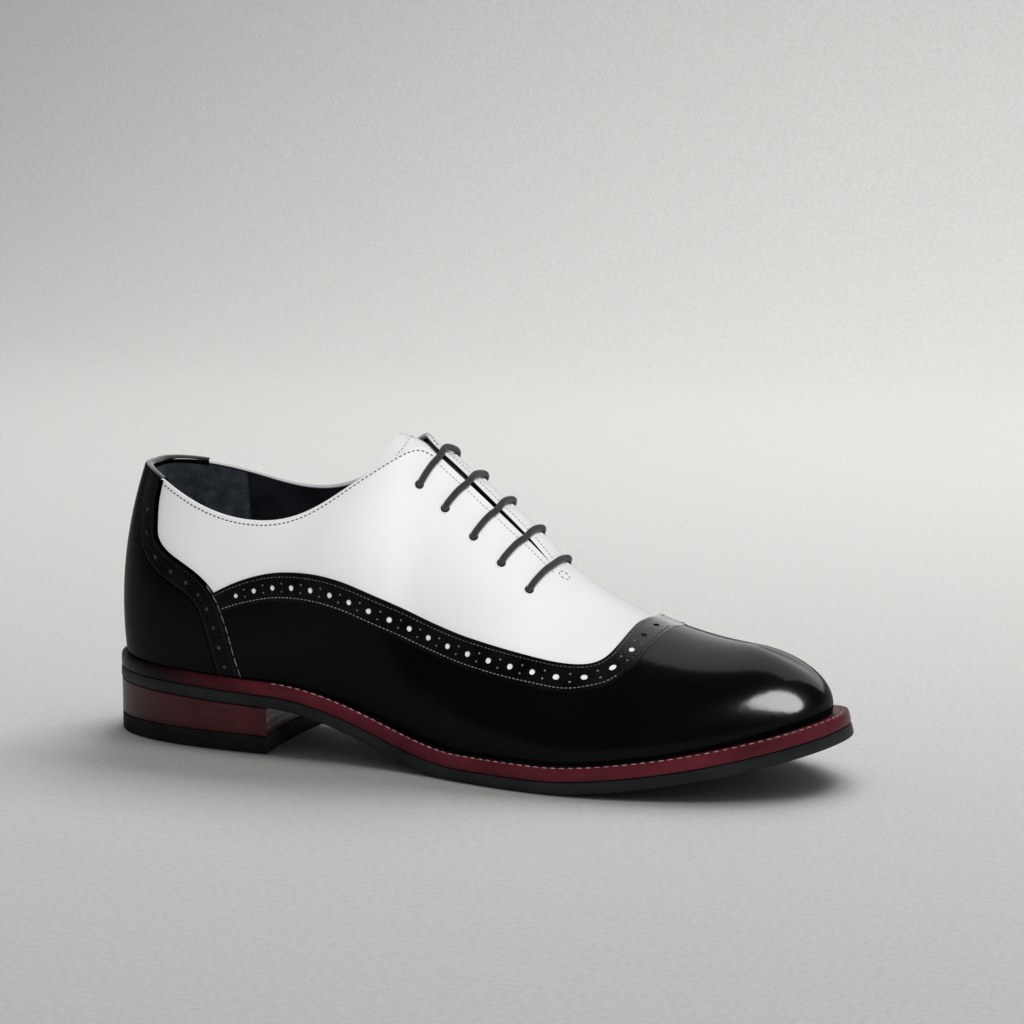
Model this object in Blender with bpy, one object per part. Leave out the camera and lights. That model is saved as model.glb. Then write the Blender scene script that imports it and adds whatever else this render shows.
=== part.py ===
"""Spectator shoe for the right foot: a closed-laced, two-tone dress shoe on a stacked heel.

The upper is one hollow leather wall. Ribs run from the feather line, where the upper meets the welt, up to
the topline, which is the collar at the back, the slit facings over the instep and the crest of vamp and toe.
The black wing and the heel counter lie on that wall, and the sole is built up in layers below it.

Sizes are in millimetres. X runs from heel to toe, Y towards the inner (medial) side, Z up from the floor.
"""

import math

import bmesh
import bpy
import numpy as np

MM = 0.001

# Sole: length over all, the layers and the heel under them
SOLE_LENGTH = 302.0
OUTSOLE_THICKNESS = 4.6
WELT_THICKNESS = 4.8
HEEL_LENGTH = 79.0
HEEL_SEAT_BACK = 21.4
HEEL_SEAT_FRONT = 18.4
TOP_PIECE_THICKNESS = 7.0
BREAST_HOLLOW = 2.0
FLAT_START = 0.54
FLAT_END = 0.655
TOE_SPRING = 17.8
TOE_SPRING_CURVE = 1.55
EDGE_ROUND = 0.6
SEAM = 0.3

# Upper: leather walls, lace and tongue
WALL = 2.0
OVERLAY_GAP = 0.4
OVERLAY_FOOT = 0.012
WING_THICKNESS = 1.1
COUNTER_THICKNESS = 1.5
INSOLE_THICKNESS = 3.0
INSOLE_CLEARANCE = 0.8
LACE_DIAMETER = 3.1
LACE_CLEARANCE = 0.65
TONGUE_THICKNESS = 1.8
TONGUE_CLEARANCE = 0.7

# Outline of the sole: share of the length, then how far it reaches to the outer and the inner side
SOLE_OUTLINE = (
    # along, lateral, medial
    (0.00, 0.0, 0.0),
    (0.03, 21.5, 21.5),
    (0.08, 30.5, 30.5),
    (0.16, 35.5, 34.0),
    (0.26, 36.5, 32.0),
    (0.38, 37.5, 28.5),
    (0.50, 45.0, 33.5),
    (0.60, 51.5, 42.5),
    (0.68, 53.5, 48.0),
    (0.76, 50.5, 49.0),
    (0.84, 44.0, 45.0),
    (0.92, 31.8, 36.5),
    (0.97, 18.5, 25.5),
    (1.00, -4.4, 4.4),
)

# How far the feather line lies inside the edge of the welt
WELT_LIP = (
    # along, lateral, medial
    (0.00, 3.6, 3.6),
    (0.15, 3.8, 3.8),
    (0.35, 4.8, 3.6),
    (0.55, 6.0, 4.8),
    (0.75, 6.5, 6.2),
    (1.00, 6.8, 6.8),
)

# Topline: the rib that starts at this share of the length ends at x, y, z
COLLAR_LATERAL = (
    # along, x, y, z
    (0.000, 13.2, 0.0, 107.0),
    (0.030, 16.0, -10.8, 106.4),
    (0.080, 26.8, -20.2, 103.2),
    (0.160, 48.0, -26.4, 94.2),
    (0.240, 71.0, -28.0, 90.4),
    (0.310, 92.0, -26.6, 95.0),
    (0.340, 101.5, -24.9, 100.5),
    (0.370, 110.9, -21.9, 107.2),
    (0.400, 119.8, -17.6, 113.5),
    (0.424, 127.2, -11.8, 118.4),
    (0.440, 131.4, -7.4, 119.8),
    (0.458, 136.0, -4.6, 117.9),
)
COLLAR_MEDIAL = (
    # along, x, y, z
    (0.030, 16.0, 10.8, 106.9),
    (0.080, 26.8, 19.6, 105.2),
    (0.160, 48.0, 25.8, 100.4),
    (0.240, 71.0, 27.8, 96.4),
    (0.310, 92.0, 26.4, 100.8),
    (0.340, 101.0, 24.4, 105.6),
    (0.370, 109.8, 20.6, 111.2),
    (0.400, 118.4, 15.4, 117.6),
    (0.424, 125.4, 9.6, 122.0),
    (0.440, 130.0, 4.4, 123.3),
    (0.458, 135.0, 0.4, 120.2),
)
FACING = (
    # along, x, lateral edge y, medial edge y, lateral edge z, medial edge z
    (0.480, 141.5, -3.6, -0.6, 113.5, 115.3),
    (0.510, 151.0, -3.4, -0.6, 105.7, 107.4),
    (0.560, 166.0, -3.1, -0.9, 93.1, 94.5),
    (0.600, 178.0, -2.8, -1.5, 82.8, 83.6),
)
CREST = (
    # along, x, y, z
    (0.635, 187.5, -2.4, 74.3),
    (0.680, 200.0, -2.0, 66.9),
    (0.740, 216.0, -1.6, 60.1),
    (0.800, 231.0, -1.2, 55.4),
    (0.860, 244.0, -0.8, 52.6),
    (0.920, 255.0, -0.4, 51.1),
    (0.970, 262.0, -0.1, 50.5),
    (1.000, 265.0, 0.0, 50.1),
)
THROAT_END = CREST[0][0]

# Shape of each rib: how it leaves the feather line and how it comes up to the topline on each side
RIBS = (
    # along, foot angle, foot handle, lateral top angle and handle, medial top angle and handle
    (0.00, 96.0, 26.0, 70.0, 27.0, 70.0, 27.0),
    (0.08, 96.0, 26.0, 77.0, 26.0, 77.0, 26.0),
    (0.16, 97.0, 24.0, 81.0, 24.0, 81.0, 24.0),
    (0.26, 97.0, 22.0, 75.0, 25.0, 73.0, 25.0),
    (0.32, 96.0, 24.0, 66.0, 26.0, 63.0, 26.0),
    (0.36, 95.0, 26.0, 58.0, 26.5, 50.0, 27.0),
    (0.40, 94.0, 27.5, 50.0, 26.0, 31.0, 28.0),
    (0.44, 93.0, 28.5, 43.5, 24.5, 2.0, 30.0),
    (0.50, 93.0, 28.5, 39.0, 23.0, -20.0, 33.0),
    (0.56, 94.0, 27.0, 32.0, 22.0, -24.0, 33.0),
    (0.62, 96.0, 24.0, 24.0, 22.0, -24.0, 30.0),
    (0.70, 98.0, 20.0, 14.0, 23.0, -14.0, 27.0),
    (0.80, 100.0, 16.0, 6.0, 23.0, -6.0, 24.0),
    (0.90, 101.0, 14.0, 1.0, 19.0, -1.0, 19.0),
    (1.00, 101.0, 13.0, 0.0, 16.0, 0.0, 16.0),
)

# Upper edge of the black wing: share of the length, then height along the leather above the feather line
WING_EDGE = (
    # along, height
    (0.170, 31.0),
    (0.206, 37.2),
    (0.244, 41.9),
    (0.295, 45.8),
    (0.333, 48.2),
    (0.383, 48.9),
    (0.431, 48.0),
    (0.490, 47.3),
    (0.535, 45.6),
    (0.592, 42.8),
    (0.648, 41.0),
    (0.688, 40.0),
    (0.714, 40.3),
    (0.732, 44.1),
    (0.746, 51.3),
    (0.762, 60.9),
    (0.776, 69.1),
)
VAMP_POINT = WING_EDGE[-1][0]

# The wing's rear end follows the counter's edge, and its columns stand upright again from here on
WING_REAR = 0.190
WING_SETTLED = 0.350

# Front edge of the heel counter and its back strap: share of the rib, then share of the length it reaches
COUNTER_EDGE = (
    # rise, along
    (0.000, 0.219),
    (0.143, 0.210),
    (0.294, 0.202),
    (0.430, 0.191),
    (0.528, 0.177),
    (0.580, 0.160),
    (0.616, 0.135),
    (0.638, 0.111),
    (0.671, 0.092),
    (0.753, 0.082),
    (0.867, 0.079),
    (1.000, 0.082),
)

# Lace bars: where they cross the throat, and how far off along the shoe and the leather their eyelets lie
LACE_COUNT = 5
LACE_FIRST = 0.469
LACE_LAST = 0.626
EYELET_BACK_LATERAL = 0.014
EYELET_AHEAD_MEDIAL = 0.012
EYELET_REACH_FIRST = 15.0
EYELET_REACH_LAST = 18.4
EYELET_REACH_MEDIAL = 11.0

# Tongue: its sections under the throat, then the free end drawn back from the last of them
TONGUE_UNDER = (
    # along, half width
    (0.655, 15.0),
    (0.630, 17.0),
    (0.590, 18.5),
    (0.550, 19.5),
    (0.510, 20.0),
    (0.476, 20.0),
)
TONGUE_FREE = (
    # back, up, lateral width, medial width
    (5.0, 3.5, 20.0, 18.5),
    (10.0, 6.0, 20.0, 16.0),
    (14.5, 7.7, 19.5, 13.5),
    (17.5, 8.5, 18.5, 11.0),
    (19.0, 8.7, 16.5, 8.0),
)
TONGUE_SLANT = 0.48

# Colours as red, green, blue, then roughness
WHITE_LEATHER = (0.85, 0.85, 0.84, 0.42)
BLACK_PATENT = (0.012, 0.012, 0.013, 0.10)
DARK_LINING = (0.02, 0.022, 0.028, 0.60)
BURGUNDY_EDGE = (0.11, 0.018, 0.026, 0.32)
CHARCOAL_SOLE = (0.018, 0.019, 0.022, 0.55)
BLACK_RUBBER = (0.012, 0.012, 0.013, 0.70)
CHARCOAL_LACE = (0.022, 0.024, 0.028, 0.60)

for old in list(bpy.data.objects):
    bpy.data.objects.remove(old, do_unlink=True)


def smooth_curve(knots, values, period=0.0):
    """A twice-smooth curve through the knots, as a function. With a period it closes on itself."""
    x, y = np.asarray(knots, float), np.asarray(values, float)
    if period:
        x = np.concatenate([x - period, x, x + period])
        y = np.tile(y, 3)
    step = np.diff(x)
    system = np.eye(len(x))
    for i in range(1, len(x) - 1):
        system[i, i - 1 : i + 2] = step[i - 1], 2 * (step[i - 1] + step[i]), step[i]
    bend = np.linalg.solve(system, np.concatenate([[0], 6 * np.diff(np.diff(y) / step), [0]]))

    def at(q):
        q = np.asarray(q, float)
        if period:
            q = q % period
        i = np.clip(np.searchsorted(x, q) - 1, 0, len(step) - 1)
        h, after, before = step[i], q - x[i], x[i + 1] - q
        curve = (bend[i] * before**3 + bend[i + 1] * after**3) / (6 * h)
        return curve + (y[i] / h - bend[i] * h / 6) * before + (y[i + 1] / h - bend[i + 1] * h / 6) * after

    return at


def turn_of(along):
    """The turn round the shoe for a share of its length: 0 at the heel, 1 at the toe, on the lateral side."""
    return np.arccos(1 - 2 * np.asarray(along, float)) / math.pi


def round_the_shoe(lateral, medial):
    """A closed curve through (along, value) pairs: out along the lateral side, back along the medial one."""
    back = [pair for pair in reversed(medial) if 0 < pair[0] < 1]
    turns = [turn_of(along) for along, _ in lateral] + [2 - turn_of(along) for along, _ in back]
    return smooth_curve(turns, [value for _, value in [*lateral, *back]], period=2.0)


def table_curve(rows, lateral_column, medial_column, lateral_sign=1):
    lateral = [(row[0], lateral_sign * row[lateral_column]) for row in rows]
    medial = [(row[0], row[medial_column]) for row in rows]
    return round_the_shoe(lateral, medial)


def topline_curve(collar_column, facing_columns):
    """One coordinate of the topline, through the collar of each side, the facings and the crest."""
    crest = [(row[0], row[collar_column]) for row in CREST]
    sides = []
    for collar, column in zip((COLLAR_LATERAL, COLLAR_MEDIAL), facing_columns):
        side = [(row[0], row[collar_column]) for row in collar]
        sides.append(side + [(row[0], row[column]) for row in FACING] + crest)
    return round_the_shoe(*sides)


outline_y = table_curve(SOLE_OUTLINE, 1, 2, lateral_sign=-1)
welt_lip = table_curve(WELT_LIP, 1, 2)
foot_angle = table_curve(RIBS, 1, 1)
foot_handle = table_curve(RIBS, 2, 2)
top_angle = table_curve(RIBS, 3, 5)
top_handle = table_curve(RIBS, 4, 6)
topline_x = topline_curve(1, (1, 1))
topline_y = topline_curve(2, (2, 3))
topline_z = topline_curve(3, (4, 5))
wing_height = smooth_curve([turn_of(row[0]) for row in WING_EDGE], [row[1] for row in WING_EDGE])
counter_turn = smooth_curve([row[0] for row in COUNTER_EDGE], [turn_of(row[1]) for row in COUNTER_EDGE])


def sole_bottom(x):
    """Height of the outsole's lower face: heel seat, arch, flat tread and toe spring."""
    along = np.asarray(x, float) / SOLE_LENGTH
    breast = HEEL_LENGTH / SOLE_LENGTH
    seat_slope = (HEEL_SEAT_FRONT - HEEL_SEAT_BACK) / breast
    seat = HEEL_SEAT_BACK + seat_slope * along
    q = np.clip((along - breast) / (FLAT_START - breast), 0, 1)
    arch = HEEL_SEAT_FRONT * (2 * q**3 - 3 * q**2 + 1)
    arch = arch + seat_slope * (FLAT_START - breast) * (q**3 - 2 * q**2 + q)
    toe = TOE_SPRING * np.maximum((along - FLAT_END) / (1 - FLAT_END), 0) ** TOE_SPRING_CURVE
    return np.where(along < breast, seat, arch) + toe


def on_sole(plan, height):
    """The point that lies this far above the outsole's lower face, square to it, over a point of the plan."""
    x, y = plan[..., 0], plan[..., 1]
    reach = 0.5
    tilt = np.arctan((sole_bottom(x + reach) - sole_bottom(x - reach)) / (2 * reach))
    return np.stack([x - height * np.sin(tilt), y, sole_bottom(x) + height * np.cos(tilt)], -1)


def plan_outline(turn, inset=0.0):
    """The sole's outline in plan, moved in by inset, and its inward direction."""
    turn = np.asarray(turn, float)
    step = 1e-4

    def edge(q):
        return np.stack([SOLE_LENGTH * (1 - np.cos(math.pi * q)) / 2, outline_y(q)], -1)

    run = edge(turn + step) - edge(turn - step)
    run /= np.linalg.norm(run, axis=-1, keepdims=True)
    inward = np.stack([-run[..., 1], run[..., 0]], -1)
    return edge(turn) + np.asarray(inset)[..., None] * inward, inward


FEATHER_HEIGHT = OUTSOLE_THICKNESS + WELT_THICKNESS + 2 * SEAM

# Ribs lean along with the crest: not at all behind the throat's top, fully from near its lower end
PITCH_START = turn_of(0.47)
PITCH_FULL = turn_of(0.60)


def rib_points(turn, rise):
    """Points of the upper's outer face: rise runs from 0 at the feather line to 1 at the topline."""
    turn, rise = np.broadcast_arrays(np.asarray(turn, float), np.asarray(rise, float))
    plan, inward = plan_outline(turn, welt_lip(turn))
    foot = on_sole(plan, FEATHER_HEIGHT)
    side = np.minimum(turn % 2, 2 - turn % 2)
    closed = side > turn_of(THROAT_END) - 1e-9
    crest_turn = np.where(closed, side, turn)
    top = np.stack([topline_x(crest_turn), topline_y(crest_turn), topline_z(crest_turn)], -1)

    step = 1e-3
    near = np.minimum(side, 1 - 8 * step)
    crest_run = topline_x(near + step) - topline_x(near - step)
    crest_fall = topline_z(near + step) - topline_z(near - step)
    fade = np.clip((side - PITCH_START) / (PITCH_FULL - PITCH_START), 0, 1)
    pitch = fade * np.arctan2(crest_fall, np.maximum(crest_run, 1e-9))
    over = np.stack([inward[..., 0] * np.cos(pitch), inward[..., 1], inward[..., 0] * np.sin(pitch)], -1)
    level = np.concatenate([inward, np.zeros_like(inward[..., :1])], -1)
    up = np.array([0.0, 0.0, 1.0])
    lean = np.radians(top_angle(turn))[..., None]
    start = np.radians(foot_angle(turn))[..., None]
    leave = foot + foot_handle(turn)[..., None] * (np.cos(start) * level + np.sin(start) * up)
    arrive = top - top_handle(turn)[..., None] * (np.cos(lean) * over + np.sin(lean) * up)
    s = rise[..., None]
    return (1 - s) ** 3 * foot + 3 * s * (1 - s) ** 2 * leave + 3 * s**2 * (1 - s) * arrive + s**3 * top


def upper_surface(turn, rise, offset=0.0):
    """The upper's outer face moved out by offset along its own normal."""
    turn, rise, offset = np.broadcast_arrays(*(np.asarray(v, float) for v in (turn, rise, offset)))
    step = 1e-3
    near = np.clip(rise, step, 1 - step)
    climb = rib_points(turn, near + step) - rib_points(turn, near - step)
    run = rib_points(turn + step, near) - rib_points(turn - step, near)
    normal = np.cross(run, climb)
    normal /= np.linalg.norm(normal, axis=-1, keepdims=True)
    return rib_points(turn, rise) + offset[..., None] * normal


def rib_run(turn):
    """How far each rib has run along the leather, at even steps of its rise."""
    rise = np.linspace(0, 1, 161)
    ribs = rib_points(np.asarray(turn, float)[..., None], rise)
    steps = np.linalg.norm(np.diff(ribs, axis=-2), axis=-1)
    return rise, np.concatenate([np.zeros_like(steps[..., :1]), np.cumsum(steps, axis=-1)], -1)


def rise_at(turn, share):
    """The rise at which each rib has run this share of its length."""
    turn, share = np.broadcast_arrays(np.asarray(turn, float), np.asarray(share, float))
    rise, run = rib_run(turn)
    lines = run.reshape(-1, len(rise))
    found = [np.interp(part * line[-1], line, rise) for part, line in zip(share.ravel(), lines)]
    return np.reshape(found, turn.shape)


def rise_below_top(turn, distance):
    """The rise that lies this far below the topline, measured along the leather."""
    return rise_at(turn, 1 - np.asarray(distance) / rib_run(turn)[1][..., -1])


def wing_share(turn):
    """The share of a lateral rib's length that the wing covers."""
    open_top = np.asarray(turn) < turn_of(VAMP_POINT) - 1e-9
    return np.where(open_top, np.minimum(wing_height(turn) / rib_run(turn)[1][..., -1], 1), 1.0)


outline_span = plan_outline(np.linspace(0, 2, 2001))[0]
ORIGIN = np.append((outline_span.min(axis=0) + outline_span.max(axis=0)) / 2, 0.0)


def material(name, look):
    shader = bpy.data.materials.new(name)
    shader.use_nodes = True
    sockets = shader.node_tree.nodes["Principled BSDF"].inputs
    sockets["Base Color"].default_value = (*look[:3], 1.0)
    sockets["Roughness"].default_value = look[3]
    return shader


def make_object(name, points, faces, look, sharp=40.0, split=False):
    """One closed piece from points in millimetres, with coinciding points welded and slanted quads split."""
    mesh = bpy.data.meshes.new(name)
    mesh.from_pydata([tuple(p) for p in (np.asarray(points) - ORIGIN) * MM], [], faces)
    work = bmesh.new()
    work.from_mesh(mesh)
    bmesh.ops.remove_doubles(work, verts=work.verts, dist=0.00002)
    bmesh.ops.dissolve_degenerate(work, edges=work.edges, dist=0.00001)
    bmesh.ops.recalc_face_normals(work, faces=work.faces)
    if split:
        bmesh.ops.triangulate(work, faces=work.faces, quad_method="SHORT_EDGE")
    work.to_mesh(mesh)
    work.free()
    mesh.shade_smooth()
    mesh.set_sharp_from_angle(angle=math.radians(sharp))
    mesh.materials.append(material(name, look))
    piece = bpy.data.objects.new(name, mesh)
    bpy.context.scene.collection.objects.link(piece)
    return piece


def round_edges(piece):
    bevel = piece.modifiers.new("rounded edge", "BEVEL")
    bevel.width = EDGE_ROUND * MM
    bevel.segments = 1
    bevel.limit_method = "ANGLE"
    bevel.angle_limit = math.radians(50)


def grid_faces(columns, rows, start=0):
    """Quads over a grid of points stored column by column."""
    faces = []
    for i in range(columns - 1):
        for j in range(rows - 1):
            a = start + i * rows + j
            faces.append((a, a + rows, a + rows + 1, a + 1))
    return faces


def slab(outer, inner):
    """A closed plate from two matching grids of points, one on each face."""
    columns, rows = outer.shape[:2]
    points = np.concatenate([outer.reshape(-1, 3), inner.reshape(-1, 3)])
    under = columns * rows
    faces = grid_faces(columns, rows) + [face[::-1] for face in grid_faces(columns, rows, under)]
    ring = [i * rows for i in range(columns)]
    ring += [(columns - 1) * rows + j for j in range(1, rows)]
    ring += [i * rows + rows - 1 for i in range(columns - 2, -1, -1)]
    ring += [j for j in range(rows - 2, 0, -1)]
    for a, b in zip(ring, ring[1:] + ring[:1]):
        faces.append((b, a, a + under, b + under))
    return points, faces


def sole_layer(name, low, high, inset, look, columns=54):
    """A layer that follows the sole's profile between two heights above its lower face."""
    turn = np.linspace(0, 1, columns)
    across = np.stack([turn, 2 - turn], 1)
    plan = plan_outline(across, inset(across))[0]
    return make_object(name, *slab(on_sole(plan, high), on_sole(plan, low)), look)


def heel_layer(name, low, high, look, columns=22):
    """A layer of the heel: the sole's outline cut off at the hollow breast, between two heights."""
    breast = turn_of(HEEL_LENGTH / SOLE_LENGTH)
    edge = plan_outline(np.linspace(-breast, breast, 2 * columns + 1), SEAM)[0]
    width = edge[-1, 1] - edge[0, 1]
    across = np.linspace(1, 0, 9)[1:-1]
    hollow = BREAST_HOLLOW * 4 * across * (1 - across)
    front = np.stack([edge[-1, 0] - hollow, edge[0, 1] + width * across], 1)
    plan = np.concatenate([edge, front])
    levels = [np.column_stack([plan, np.broadcast_to(level(plan[:, 0]), len(plan))]) for level in (low, high)]
    count = len(plan)
    faces = [tuple(range(count)), tuple(range(2 * count - 1, count - 1, -1))]
    faces += [(i, (i + 1) % count, (i + 1) % count + count, i + count) for i in range(count)]
    return make_object(name, np.concatenate(levels), faces, look)


def constant(value):
    return lambda q: np.full(np.shape(q), value, float)


def flush(turn):
    return np.zeros(np.shape(turn))


round_edges(heel_layer("heel_top_piece", constant(0.0), constant(TOP_PIECE_THICKNESS), BLACK_RUBBER))
heel_layer("heel_block", constant(TOP_PIECE_THICKNESS + SEAM), lambda x: sole_bottom(x) - SEAM, BURGUNDY_EDGE)
round_edges(sole_layer("outsole", 0.0, OUTSOLE_THICKNESS, flush, CHARCOAL_SOLE))
WELT_LOW = OUTSOLE_THICKNESS + SEAM
round_edges(sole_layer("welt", WELT_LOW, WELT_LOW + WELT_THICKNESS, flush, BURGUNDY_EDGE))
sole_layer(
    "insole",
    FEATHER_HEIGHT,
    FEATHER_HEIGHT + INSOLE_THICKNESS,
    lambda turn: welt_lip(turn) + WALL + INSOLE_CLEARANCE,
    DARK_LINING,
)


def upper_turns():
    """Ribs of the lateral half: closer together round the facing corner and at the slit's end."""
    stretches = (
        # from along, to along, ribs
        (0.000, 0.080, 6),
        (0.080, 0.410, 10),
        (0.410, 0.480, 7),
        (0.480, THROAT_END, 7),
        (THROAT_END, 0.950, 9),
        (0.950, 1.000, 5),
    )
    turns = [np.linspace(turn_of(a), turn_of(b), n, endpoint=False) for a, b, n in stretches]
    return np.append(np.concatenate(turns), 1.0)


def build_upper(rows=11):
    """The hollow upper: an outer and an inner face, joined at the feather, the collar and the slit."""
    half = upper_turns()
    turns = np.concatenate([half, 2 - half[-2:0:-1]])
    columns = len(turns)
    rise = np.linspace(0, 1, rows)
    outer = upper_surface(turns[:, None], rise[None, :])
    inner = upper_surface(turns[:, None], rise[None, :], -WALL)
    points = np.concatenate([outer.reshape(-1, 3), inner.reshape(-1, 3)])
    under = columns * rows
    throat = turn_of(THROAT_END) - 1e-9
    faces = []
    for i in range(columns):
        k = (i + 1) % columns
        for j in range(rows - 1):
            a, b, c, d = i * rows + j, k * rows + j, k * rows + j + 1, i * rows + j + 1
            faces += [(a, b, c, d), (d + under, c + under, b + under, a + under)]
        a, b = i * rows, k * rows
        faces.append((b, a, a + under, b + under))
        open_top = min(min(turns[i], 2 - turns[i]), min(turns[k], 2 - turns[k])) < throat
        if open_top:
            a, b = a + rows - 1, b + rows - 1
            faces.append((a, b, b + under, a + under))
    for i in range(columns):
        mirror = (columns - i) % columns
        if throat <= turns[i] < 1:
            for layer in (0, under):
                points[mirror * rows + rows - 1 + layer] = points[i * rows + rows - 1 + layer]
    make_object("upper", points, faces, WHITE_LEATHER, sharp=50.0, split=True)


build_upper()


def overlay(turn, rise, thickness):
    """The two faces of a leather piece that lies on the upper and stops just short of the welt."""
    rise = np.maximum(rise, OVERLAY_FOOT)
    return upper_surface(turn, rise, OVERLAY_GAP + thickness), upper_surface(turn, rise, OVERLAY_GAP)


def counter_rises():
    """Rises of the counter's rows: those of its table, and one between any two that lie far apart."""
    edge = [row[0] for row in COUNTER_EDGE]
    return np.array(sorted(edge + [(a + b) / 2 for a, b in zip(edge, edge[1:]) if b - a > 0.06]))


def build_counter(columns=17):
    """The heel counter with its back strap, from one side of the heel round to the other."""
    rise = counter_rises()
    across = np.linspace(-1, 1, columns)[:, None]
    turn = across * counter_turn(rise)[None, :]
    leather = overlay(turn, rise[None, :], COUNTER_THICKNESS)
    make_object("heel_counter", *slab(*leather), BLACK_PATENT, split=True)


def wing_half(rows):
    """Turns and rib shares of the wing's lateral half, from the counter's edge to the toe."""
    stretches = (
        # from along, to along, columns
        (WING_REAR, WING_SETTLED, 5),
        (WING_SETTLED, 0.690, 10),
        (0.690, VAMP_POINT, 10),
        (VAMP_POINT, 0.950, 6),
        (0.950, 1.000, 5),
    )
    columns = [np.linspace(turn_of(a), turn_of(b), n, endpoint=False) for a, b, n in stretches]
    columns = np.append(np.concatenate(columns), 1.0)
    row = np.linspace(0, 1, rows)
    corner = 0.5
    for _ in range(12):
        corner = rise_at(counter_turn(corner), wing_share(counter_turn(corner)))
    joint = 2 * SEAM / (SOLE_LENGTH * math.pi / 2)
    rear, settled = turn_of(WING_REAR), turn_of(WING_SETTLED)
    slant = counter_turn(row * corner) + joint - rear
    follow = np.clip((settled - columns) / (settled - rear), 0, 1)
    turns = columns[:, None] + follow[:, None] * slant[None, :]
    return turns, wing_share(turns[:, -1])[:, None] * row[None, :]


def build_wing(rows=10):
    """The wing: both sides and the toe in one piece, open above where the white vamp shows."""
    turn, share = wing_half(rows)
    turn = np.concatenate([turn, 2 - turn[-2::-1]])
    share = np.concatenate([share, share[-2::-1]])
    outer, inner = overlay(turn, rise_at(turn, share), WING_THICKNESS)
    columns = len(turn)
    points = np.concatenate([outer.reshape(-1, 3), inner.reshape(-1, 3)])
    under = columns * rows
    faces = grid_faces(columns, rows) + [face[::-1] for face in grid_faces(columns, rows, under)]
    closed = share[:, -1] > 1 - 1e-6
    for i in range(columns - 1):
        a, b = i * rows, (i + 1) * rows
        faces.append((b, a, a + under, b + under))
        if not (closed[i] and closed[i + 1]):
            a, b = a + rows - 1, b + rows - 1
            faces.append((a, b, b + under, a + under))
    for i in (0, columns - 1):
        for j in range(rows - 1):
            a = i * rows + j
            faces.append((a, a + 1, a + 1 + under, a + under))
    for i in range(columns // 2):
        mirror = columns - 1 - i
        if closed[i]:
            for layer in (0, under):
                points[mirror * rows + rows - 1 + layer] = points[i * rows + rows - 1 + layer]
    make_object("wing_vamp", points, faces, BLACK_PATENT, split=True)


build_counter()
build_wing()


def tongue_section(along, lateral_width, medial_width, depth, slant=0.0):
    """A line across the tongue, this deep under the outer face of the upper, edge to edge."""
    reach = np.linspace(1, 0.25, 5)
    turn = np.full(len(reach), turn_of(along))
    near = upper_surface(turn, rise_below_top(turn, reach * lateral_width), -depth)
    far = upper_surface(2 - turn, rise_below_top(2 - turn, reach * medial_width), -depth)
    near[:, 0] -= slant * reach * lateral_width
    return np.concatenate([near, far[::-1]])


def build_tongue():
    faces = []
    root = TONGUE_UNDER[-1][0]
    for depth in (WALL + TONGUE_CLEARANCE, WALL + TONGUE_CLEARANCE + TONGUE_THICKNESS):
        sections = [tongue_section(along, width, width, depth) for along, width in TONGUE_UNDER]
        for back, up, lateral, medial in TONGUE_FREE:
            slant = TONGUE_SLANT * back / TONGUE_FREE[-1][0]
            sections.append(tongue_section(root, lateral, medial, depth, slant) + np.array([-back, 0.0, up]))
        faces.append(np.array(sections))
    make_object("tongue", *slab(*faces), WHITE_LEATHER)


build_tongue()


def lace_path(along, reach):
    """The middle line of a lace bar, from its lateral eyelet over the slit to its medial one."""
    out = np.linspace(1, 0, 6)
    lateral = turn_of(along - EYELET_BACK_LATERAL * out)
    far = np.linspace(0, 1, 5)
    medial = 2 - turn_of(along + EYELET_AHEAD_MEDIAL * far)
    lift = LACE_DIAMETER / 2 + LACE_CLEARANCE
    near_side = upper_surface(lateral, rise_below_top(lateral, reach * out), lift)
    far_side = upper_surface(medial, rise_below_top(medial, EYELET_REACH_MEDIAL * far), lift)
    middle = (near_side[-1] + far_side[0]) / 2
    return np.concatenate([near_side[:-1], [middle], far_side[1:]])


def build_lace_bars():
    crossings = np.linspace(LACE_FIRST, LACE_LAST, LACE_COUNT)
    reaches = np.linspace(EYELET_REACH_FIRST, EYELET_REACH_LAST, LACE_COUNT)
    for number, (along, reach) in enumerate(zip(crossings, reaches), start=1):
        name = f"lace_bar_{number}"
        path = (lace_path(along, reach) - ORIGIN) * MM
        curve = bpy.data.curves.new(name, "CURVE")
        curve.dimensions = "3D"
        curve.bevel_depth = LACE_DIAMETER / 2 * MM
        curve.bevel_resolution = 2
        curve.use_fill_caps = True
        line = curve.splines.new("POLY")
        line.points.add(len(path) - 1)
        for point, place in zip(line.points, path):
            point.co = (*place, 1.0)
        curve.materials.append(material(name, CHARCOAL_LACE))
        bpy.context.scene.collection.objects.link(bpy.data.objects.new(name, curve))


build_lace_bars()
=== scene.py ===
"""Spectator shoe for the right foot, dressed from the floor up: heel, sole, welt, upper, trim and laces.

Sizes are in millimetres. X runs from heel to toe, Y towards the inner side, Z up from the floor.
"""

import math

import bpy
import numpy as np
from mathutils import Matrix, geometry


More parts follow.
